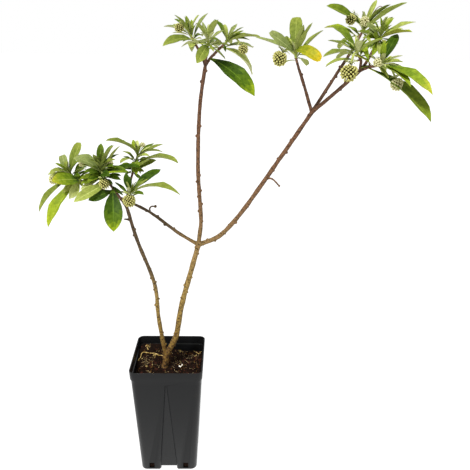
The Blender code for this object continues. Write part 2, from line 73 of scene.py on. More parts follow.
GOLDEN = math.radians(137.5)  # the turn from one leaf of a spiral to the next
UP = Vector((0.0, 0.0, 1.0))

Piece = bpy.types.Object
Material = bpy.types.Material
Tree = bpy.types.NodeTree
Socket = bpy.types.NodeSocket
Pair = tuple[float, float]
Triple = tuple[float, float, float]
Run = tuple[list[Vector], list[float]]  # a tube's points, and its radius at each of them


# Shared modelling steps


class Element(Enum):
    """What an edit-mode selection is made of."""

    VERT = "VERT"
    EDGE = "EDGE"
    FACE = "FACE"


def vector(x: float, y: float, z: float, unit: float = MM) -> Vector:
    """A dataclass field that starts as a vector, in mm unless another unit is given."""
    return field(default_factory=lambda: Vector((x, y, z)) * unit)


def select_only(*objects: Piece) -> None:
    """Select these objects and nothing else, the first of them active."""
    bpy.ops.object.select_all(action="DESELECT")
    for obj in objects:
        obj.select_set(True)
    bpy.context.view_layer.objects.active = objects[0]


@contextmanager
def editing(obj: Piece) -> Iterator[None]:
    """Edit mode on one object for the length of a with block."""
    select_only(obj)
    bpy.ops.object.mode_set(mode="EDIT")
    yield
    bpy.ops.object.mode_set(mode="OBJECT")


def pick(obj: Piece, element: Element, test: Callable[[Vector, int], bool]) -> None:
    """Select, in edit mode, the elements that pass a test.

    Args:
        obj: The object in edit mode.
        element: Vertices, edges or faces.
        test: Takes the element's middle and its index.
    """
    bpy.ops.mesh.select_mode(type=element.value)
    bpy.ops.mesh.select_all(action="DESELECT")
    bm = bmesh.from_edit_mesh(obj.data)
    items = {Element.VERT: bm.verts, Element.EDGE: bm.edges, Element.FACE: bm.faces}[element]
    for item in items:
        corners = [item.co] if element is Element.VERT else [vert.co for vert in item.verts]
        if test(sum(corners, Vector()) / len(corners), item.index):
            item.select_set(True)
    bm.select_flush_mode()
    bmesh.update_edit_mesh(obj.data)


def apply_modifier(obj: Piece, kind: str, **settings: object) -> None:
    """Add one modifier with its settings and apply it.

    Args:
        obj: The mesh object.
        kind: The modifier's type.
        **settings: The modifier's properties.
    """
    select_only(obj)
    modifier = obj.modifiers.new(kind.title(), kind)
    for name, value in settings.items():
        setattr(modifier, name, value)
    bpy.ops.object.modifier_apply(modifier=modifier.name)


def settle(obj: Piece) -> None:
    """Move the object's place, turn and scale into its mesh."""
    select_only(obj)
    bpy.ops.object.transform_apply(location=True, rotation=True, scale=True)


def join(objects: Sequence[Piece], name: str) -> Piece:
    """Join objects into one named mesh that sits at the origin.

    Args:
        objects: Meshes, or one mesh.
        name: What they are called together.

    Returns:
        The mesh object.
    """
    select_only(*objects)
    if len(objects) > 1:
        bpy.ops.object.join()
    joined = bpy.context.view_layer.objects.active
    settle(joined)
    joined.name = joined.data.name = name
    return joined


def started(name: str, scale: Sequence[float] = (1, 1, 1)) -> Piece:
    """Name the primitive that was just added and scale it to its size.

    Args:
        name: Its name.
        scale: Its size along each axis.

    Returns:
        The mesh object.
    """
    made = bpy.context.object
    made.name = made.data.name = name
    made.scale = scale
    settle(made)
    return made


def duplicate(master: Piece, matrix: Matrix) -> Piece:
    """A copy of a modelled piece, with its own mesh, at another place.

    Args:
        master: The modelled piece.
        matrix: The transform of the copy.

    Returns:
        The copy.
    """
    made = master.copy()
    made.data = master.data.copy()
    bpy.context.scene.collection.objects.link(made)
    made.matrix_world = matrix
    return made


def discard(objects: Sequence[Piece]) -> None:
    """Remove masters and cutters that are no longer needed."""
    for obj in objects:
        bpy.data.objects.remove(obj, do_unlink=True)


def axes_matrix(x: Vector, y: Vector, z: Vector, place: Vector, scale: float = 1.0) -> Matrix:
    """A transform from three axes, a place and an even scale."""
    turn = Matrix((x, y, z)).transposed().to_4x4()
    return Matrix.Translation(place) @ turn @ Matrix.Scale(scale, 4)


def aimed(direction: Vector, place: Vector, size: Vector, spin: float = 0.0) -> Matrix:
    """A transform that points a piece's +Z along a direction, turned by spin about it."""
    turn = direction.to_track_quat("Z", "Y") @ Quaternion((0, 0, 1), spin)
    return Matrix.LocRotScale(place, turn, size)


def tubes(name: str, runs: Sequence[Run], sides: int) -> Piece:
    """Closed round tubes through lists of points, as one mesh.

    Args:
        name: The object's name.
        runs: One run for each tube.
        sides: How many sides each tube has.

    Returns:
        The mesh object.
    """
    bpy.ops.curve.primitive_bezier_curve_add(location=(0, 0, 0))
    guide = bpy.context.object
    curve = guide.data
    curve.splines.clear()
    curve.dimensions = "3D"
    curve.bevel_depth = MM
    curve.bevel_resolution = max(0, sides // 2 - 2)
    curve.use_fill_caps = True
    for points, radii in runs:
        spline = curve.splines.new("POLY")
        spline.points.add(len(points) - 1)
        for point, place, radius in zip(spline.points, points, radii):
            point.co = (*place, 1.0)
            point.radius = radius / MM
    select_only(guide)
    bpy.ops.object.convert(target="MESH")
    made = bpy.context.object
    made.name = name
    with editing(made):
        bpy.ops.mesh.select_all(action="SELECT")
        bpy.ops.mesh.remove_doubles(threshold=1e-6)
        bpy.ops.mesh.normals_make_consistent(inside=False)
    return made


def tapered(points: list[Vector], foot: float, change: float, unit: float = MM) -> Run:
    """A run whose radius changes evenly from its foot on, in mm unless another unit is given."""
    return points, [(foot + change * k / len(points)) * unit for k in range(len(points))]


def roughen(obj: Piece, name: str, layers: Sequence[Pair], depth: int,
            direction: str = "NORMAL") -> None:
    """Raise a cloudy relief on a mesh.

    Args:
        obj: The mesh object.
        name: What the relief is called.
        layers: For each layer of relief its blotches' size and its height in mm.
        depth: How many finer patterns each layer has in it.
        direction: Along the surface's normals, or along Z.
    """
    for cell, height in layers:
        texture = bpy.data.textures.new(name, "CLOUDS")
        texture.noise_scale = cell * MM
        texture.noise_depth = depth
        apply_modifier(obj, "DISPLACE", texture=texture, strength=height * MM, direction=direction,
                       texture_coords="LOCAL")


def smooth(obj: Piece, angle: float = 60.0) -> None:
    """Shade smooth but for edges sharper than an angle in degrees."""
    select_only(obj)
    bpy.ops.object.shade_smooth_by_angle(angle=math.radians(angle))


def dressed(obj: Piece, finish: Material, angle: float = 60.0) -> Piece:
    """Shade a piece smooth and give it its finish.

    Args:
        obj: The mesh object.
        finish: Its material.
        angle: Edges sharper than this, in degrees, stay sharp.

    Returns:
        The mesh object.
    """
    smooth(obj, angle)
    obj.data.materials.append(finish)
    return obj


def hand_over(obj: Piece, slot: str, *nodes: str) -> None:
    """Let a finished piece ride on the plant's body and hide the nodes it stands for.

    Args:
        obj: The finished piece.
        slot: Its material's slot; not used.
        *nodes: The nodes it stands for.
    """
    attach(obj, BODY)
    if nodes:
        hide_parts(*nodes)
    triangles = sum(len(face.vertices) - 2 for face in obj.data.polygons)
    LOG.info("%s: %d triangles", obj.name, triangles)


# Finishes


def srgb(code: str) -> tuple[float, float, float, float]:
    """A linear colour from an sRGB hex code."""
    shares = [int(code[i:i + 2], 16) / 255 for i in (1, 3, 5)]
    linear = [s / 12.92 if s <= 0.04045 else ((s + 0.055) / 1.055) ** 2.4 for s in shares]
    return (*linear, 1.0)


def blend(first: str, second: str, share: float) -> str:
    """The sRGB hex code a share of the way from one to another."""
    pairs = [(int(first[i:i + 2], 16), int(second[i:i + 2], 16)) for i in (1, 3, 5)]
    return "#" + "".join(f"{round(a + (b - a) * share):02x}" for a, b in pairs)


def add_node(tree: Tree, kind: str, settings: dict | None = None,
             links: dict | None = None) -> bpy.types.NodeOutputs:
    """Add one node, give it its settings and link its inputs.

    Args:
        tree: The node tree.
        kind: The node's type, without the ShaderNode before it.
        settings: Properties, or inputs' own values, by name; the stops of a ramp are pairs of a
            place from 0 to 1 and an sRGB hex code.
        links: Output sockets by the name, or the number, of the input they feed.

    Returns:
        The node's outputs.
    """
    node = tree.nodes.new(f"ShaderNode{kind}")
    for name, value in (settings or {}).items():
        if name == "stops":
            elements = node.color_ramp.elements
            while len(elements) < len(value):
                elements.new(1.0)
            for element, (place, code) in zip(elements, value):
                element.position, element.color = place, srgb(code)
        elif name in node.inputs:
            node.inputs[name].default_value = value
        else:
            setattr(node, name, value)
    for name, socket in (links or {}).items():
        tree.links.new(socket, node.inputs[name])
    return node.outputs


def new_material(name: str) -> tuple[Material, Tree, Socket]:
    """A material with its tree and the place on the piece, which its patterns follow."""
    made = bpy.data.materials.new(name)
    made.use_nodes = True
    return made, made.node_tree, add_node(made.node_tree, "TexCoord")["Object"]


def complete(made: Material, links: dict[str, Socket], height: Socket,
             relief: Pair, settings: dict[str, float]) -> Material:
    """Link a material's patterns to its Principled shader.

    Args:
        made: The material.
        links: Output sockets by the shader's input that they feed.
        height: The pattern that the relief follows.
        relief: The relief's strength and its depth.
        settings: The shader's other values by input.

    Returns:
        The material.
    """
    tree = made.node_tree
    shader = tree.nodes["Principled BSDF"]
    strength, depth = relief
    normal = add_node(tree, "Bump", {"Strength": strength, "Distance": depth}, {"Height": height})
    for name, socket in {**links, "Normal": normal["Normal"]}.items():
        tree.links.new(socket, shader.inputs[name])
    for name, value in settings.items():
        shader.inputs[name].default_value = value
    return made


@dataclass(frozen=True)
class MouldedPlastic:
    """Injection-moulded black polypropylene: a satin skin with fine grain, dusty in patches."""

    name: str = "moulded_black_polypropylene"
    skin: str = "#0c0d0e"
    dust: str = "#151412"
    grain: float = 0.9 * MM  # the mould's spark texture, drawn as coarse as it needs to show
    blotch: float = 26.0 * MM
    relief: Pair = (0.12, 0.1 * MM)
    rough: Pair = (0.36, 0.52)  # where it is clean, and where it is dusty
    body: float = 0.06
    coat: float = 0.42  # the polished skin that glints along the rounded corners
    coat_rough: float = 0.28

    def make(self) -> Material:
        """The finish as a material.

        Returns:
            The material.
        """
        made, tree, place = new_material(self.name)
        blotches, grain = (
            add_node(tree, "TexNoise", {"Scale": 1 / cell, "Detail": fine},
                     {"Vector": place})["Fac"]
            for cell, fine in ((self.blotch, 4.0), (self.grain, 1.0)))
        colour = add_node(tree, "ValToRGB", {
            "stops": ((0.35, self.skin), (0.62, self.skin), (0.8, self.dust))}, {"Fac": blotches})
        clean, dusty = self.rough
        rough = add_node(tree, "MapRange", {"To Min": clean, "To Max": dusty}, {"Value": blotches})
        return complete(made, {"Base Color": colour["Color"], "Roughness": rough["Result"]}, grain,
                        self.relief, {"Specular IOR Level": self.body, "Coat Weight": self.coat,
                                      "Coat Roughness": self.coat_rough})


@dataclass(frozen=True)
class Peat:
    """Composted bark or one kind of scrap in it: matt, crumbly, darker where it is damp; bud_shadow
    uses it as painted shade.
    """

    name: str
    damp: str
    dry: str
    crumb: float = 2.2 * MM
    rough: float = 0.92
    gloss: float = 0.1
    relief: Pair = (0.7, 0.5 * MM)

    def make(self) -> Material:
        """The finish as a material.

        Returns:
            The material.
        """
        made, tree, place = new_material(self.name)
        crumbs = add_node(tree, "TexNoise", {"Scale": 1 / self.crumb, "Detail": 4.0},
                          {"Vector": place})["Fac"]
        colour = add_node(tree, "ValToRGB", {"stops": ((0.38, self.damp), (0.66, self.dry))},
                          {"Fac": crumbs})
        return complete(made, {"Base Color": colour["Color"]}, crumbs, self.relief,
                        {"Roughness": self.rough, "Specular IOR Level": self.gloss})


@dataclass(frozen=True)
class Bark:
    """Thin bark: golden olive at the foot, tan, then brown, and dark reddish on the young wood."""

    name: str = "paperbush_bark"
    heights: Pair = (0.19, 0.80)
    colours: tuple[tuple[float, str], ...] = (
        (0.0, "#5c4527"), (0.04, "#866335"), (0.12, "#8c7032"), (0.24, "#a18746"), (0.4, "#a28652"),
        (0.5, "#866645"), (0.72, "#7c573b"), (0.95, "#604230"),
    )
    old: str = "#54452f"
    aged: float = 0.78  # how far the thin left-hand wood has turned to the old colour
    aged_across: Pair = (0.034, 0.004)
    aged_above: Pair = (0.35, 0.40)
    wander: float = 0.2  # how far the flecks shift the colours up and down
    fleck: float = 3.4 * MM
    fissure: float = 0.9 * MM
    fissures: tuple[tuple[float, str], ...] = (
        (0.36, "#877f73"), (0.5, "#ebe7df"), (0.64, "#ffffff"))
    patches: tuple[tuple[float, str], ...] = ((0.36, "#918a7e"), (0.5, "#ffffff"))
    relief: Pair = (0.6, 0.35 * MM)
    rough: float = 0.66
    gloss: float = 0.3

    def make(self) -> Material:
        """The finish as a material.

        Returns:
            The material.
        """
        made, tree, place = new_material(self.name)
        axes = add_node(tree, "SeparateXYZ", {}, {"Vector": place})
        flecks, fissures = (
            add_node(tree, "TexNoise", {"Scale": 1 / cell, "Detail": 3.0}, {"Vector": place})["Fac"]
            for cell in (self.fleck, self.fissure))
        height, left, above, shift = (
            add_node(tree, "MapRange", {"From Min": start, "From Max": end, "To Min": low,
                                        "To Max": high}, {"Value": source})["Result"]
            for source, (start, end), low, high in (
                (axes["Z"], self.heights, 0, 1), (axes["X"], self.aged_across, 0, self.aged),
                (axes["Z"], self.aged_above, 0, 1), (flecks, (0, 1), -self.wander, self.wander)))
        shifted = add_node(tree, "Math", {"operation": "ADD"}, {0: height, 1: shift})
        age = add_node(tree, "Math", {"operation": "MULTIPLY"}, {0: left, 1: above})
        young = add_node(tree, "ValToRGB", {"stops": self.colours}, {"Fac": shifted["Value"]})
        colour = add_node(tree, "MixRGB", {"Color2": srgb(self.old)},
                          {"Fac": age["Value"], "Color1": young["Color"]})
        for pattern, stops in ((fissures, self.fissures), (flecks, self.patches)):
            shade = add_node(tree, "ValToRGB", {"stops": stops}, {"Fac": pattern})
            colour = add_node(tree, "MixRGB", {"blend_type": "MULTIPLY", "Fac": 1.0},
                              {"Color1": colour["Color"], "Color2": shade["Color"]})
        return complete(made, {"Base Color": colour["Color"]}, fissures, self.relief,
                        {"Roughness": self.rough, "Specular IOR Level": self.gloss})


@dataclass(frozen=True)
class LeafSkin:
    """One green of the leaves: a thin waxy skin, faintly mottled, or silky down on young growth."""

    name: str
    shade: str
    light: str
    rough: float = 0.5
    down: float = 0.0  # sheen of the silky hairs
    mottle: float = 5.0 * MM
    pores: float = 0.8 * MM
    relief: Pair = (0.25, 0.15 * MM)
    gloss: float = 0.07
    down_rough: float = 0.4

    def make(self) -> Material:
        """The finish as a material.

        Returns:
            The material.
        """
        made, tree, place = new_material(self.name)
        mottling, pores = (
            add_node(tree, "TexNoise", {"Scale": 1 / cell, "Detail": fine},
                     {"Vector": place})["Fac"]
            for cell, fine in ((self.mottle, 3.0), (self.pores, 1.0)))
        colour = add_node(tree, "ValToRGB", {"stops": ((0.3, self.shade), (0.7, self.light))},
                          {"Fac": mottling})
        return complete(made, {"Base Color": colour["Color"]}, pores, self.relief, {
            "Roughness": self.rough, "Specular IOR Level": self.gloss,
            "Sheen Weight": self.down, "Sheen Roughness": self.down_rough})


STEPS = 6
RIB, UNDER = STEPS, STEPS + 1


class Tint(Enum):
    """A leaf's colours at its base, its middle and its tip, of its midrib and of its underside."""

    DEEP = ("#1e3007", "#2a4404", "#3e5b08", "#4a6616", "#7f8c40")
    DARK = ("#2c430a", "#435c0c", "#5a7312", "#73852c", "#8b9746")
    MID = ("#3f570c", "#5d7214", "#75881c", "#93a03a", "#919c4a")
    FRESH = ("#566c12", "#778c17", "#8ea421", "#a6b44d", "#98a44c")
    OLIVE = ("#566a1e", "#74812f", "#8a9539", "#a2ac50", "#9aa355")
    SAGE = ("#65743a", "#7e8b4c", "#959f5d", "#adb673", "#b2b57c")
    LIGHT = ("#7a8a34", "#98a349", "#aeb85c", "#c2ca78", "#bcc084")
    SILK = ("#98a349", "#b4bd66", "#c9ce8a", "#c9ce8a", "#c8ca96")
    LIME = ("#5f7a12", "#8a9d1a", "#a4b126", "#b3bd49", "#acae42")
    TURNING = ("#3e5a0c", "#76901a", "#b4b62a", "#a6b44d", "#c0c266")
    GOLD = ("#5c7418", "#9a9c1a", "#cbb018", "#b3a62c", "#b0ad3c")
    HANGING = ("#1d3306", "#335004", "#869a12", "#567518", "#8b9746")

    def skin(self, zone: int) -> LeafSkin:
        """The finish of one colour step, the midrib or the underside.

        Args:
            zone: The colour step, RIB or UNDER.

        Returns:
            The finish.
        """
        base, middle, tip, rib, under = self.value
        share = 2 * zone / (STEPS - 1)
        step = blend(base, middle, share) if share < 1 else blend(middle, tip, min(share - 1, 1))
        colour = {RIB: rib, UNDER: under}.get(zone, step)
        rough = 0.7 if zone == UNDER else {Tint.DEEP: 0.42, Tint.DARK: 0.44, Tint.SAGE: 0.6,
                                           Tint.SILK: 0.65}.get(self, 0.5)
        return LeafSkin(f"leaf_{self.name.lower()}_{zone}", blend(colour, "#16240a", 0.16),
                        blend(colour, "#eaf0a0", 0.1), rough)


# Growth: the same rule and sizes as the solids


class Kind(Enum):
    """A leaf's proportions."""

    FULL = "full"
    BROAD = "broad"
    BLUNT = "blunt"
    YOUNG = "young"
    SCALE = "scale"


@dataclass(frozen=True)
class Limb:
    """A stem or bough: its knees and widths in mm, from its parent's tip to its own."""

    name: str
    parent: str
    knees: tuple[Triple, ...]
    foot_width: float
    tip_width: float


@dataclass(frozen=True)
class Leaf:
    """A leaf by the way it points, in degrees and mm.

    tilt is from upright as seen from the front and lean towards the front. droop is how far it
    bends over, turn how far its upper side faces the front, drop its place down the twig and slim
    its width as a share of its kind's.
    """

    tilt: float
    lean: float
    length: float
    tint: Tint = Tint.MID
    droop: float = 40.0
    turn: float = 0.0
    drop: float = 0.0
    kind: Kind = Kind.FULL
    slim: float = 1.0


def leaves(*rows: tuple[float | Tint | Kind, ...]) -> tuple[Leaf, ...]:
    """Leaves from rows of their fields in order."""
    return tuple(Leaf(*row) for row in rows)


@dataclass(frozen=True)
class Head:
    """A nodding head of buds: where its middle is from the twig's tip, and its width in mm."""

    tilt: float
    lean: float
    reach: float
    width: float
    young: bool = False  # still closed in pale silk


@dataclass(frozen=True)
class Whorl:
    """A twig with its tip in mm, the leaves of the solids, finer ones among them, and bud heads.

    mood is the run of tints that its unnamed leaves take.
    """

    name: str
    limb: str
    tip: Triple
    leaves: tuple[Leaf, ...]
    finer: tuple[Leaf, ...]
    heads: tuple[Head, ...]
    mood: tuple[Tint, ...]


FULL, BROAD, BLUNT, YOUNG, SCALE = Kind
DEEP, DARK, MID, FRESH, OLIVE, SAGE, LIGHT, SILK, LIME, TURNING, GOLD, HANGING = Tint
SHADED = (DEEP, DARK, DARK, MID, OLIVE)
GREEN = (DARK, MID, MID, FRESH, OLIVE, SAGE)
SOFT = (MID, OLIVE, OLIVE, SAGE, LIGHT)
BRIGHT = (MID, FRESH, FRESH, LIGHT, LIME, SAGE)

LIMBS = (
    Limb("stem_left", "trunk", ((-16, -10, 307), (-19, -20, 374), (-43, -35, 459), (-55, -45, 517)),
         8.5, 6),
    Limb("stem_main", "trunk", ((15, 0, 260), (25, 2, 320), (44, 6, 392), (56, 10, 436)),
         11.5, 9.5),
    Limb("bough_left", "stem_main", ((18, 15, 458), (-28, 25, 490), (-66, 35, 506)), 7, 5),
    Limb("bough_middle", "stem_main", ((61, 12, 481), (56, 16, 569), (59, 20, 668), (68, 22, 735)),
         8, 6.5),
    Limb("bough_right", "stem_main",
         ((93, 5, 454), (130, -3, 500), (183, -15, 585), (235, -30, 672)), 9, 7),
    Limb("bough_right_inner", "bough_right", ((217, -40, 719), (210, -45, 735)), 6, 5),
    Limb("bough_right_middle", "bough_right", ((263, -15, 714), (297, 5, 763)), 6, 5),
    Limb("bough_right_outer", "bough_right", ((267, -55, 707), (294, -70, 736)), 6.5, 5.5),
)

# Small dead twigs: the limb, the share of it they stand at, their bends from there in mm, their
# width and their knob's width.
SNAGS = (
    ("bough_left", 0.70, ((-1, -4, 8), (3, -8, 14), (10, -11, 15)), 3.0, 5.5),
    ("bough_right", 0.56, ((7, -5, 5), (14, -6, 3), (24, -7, -7)), 3.0, 4.0),
    ("stem_left", 0.93, ((-5, -2, 3), (-10, -4, 4)), 3.4, 0.0),
)

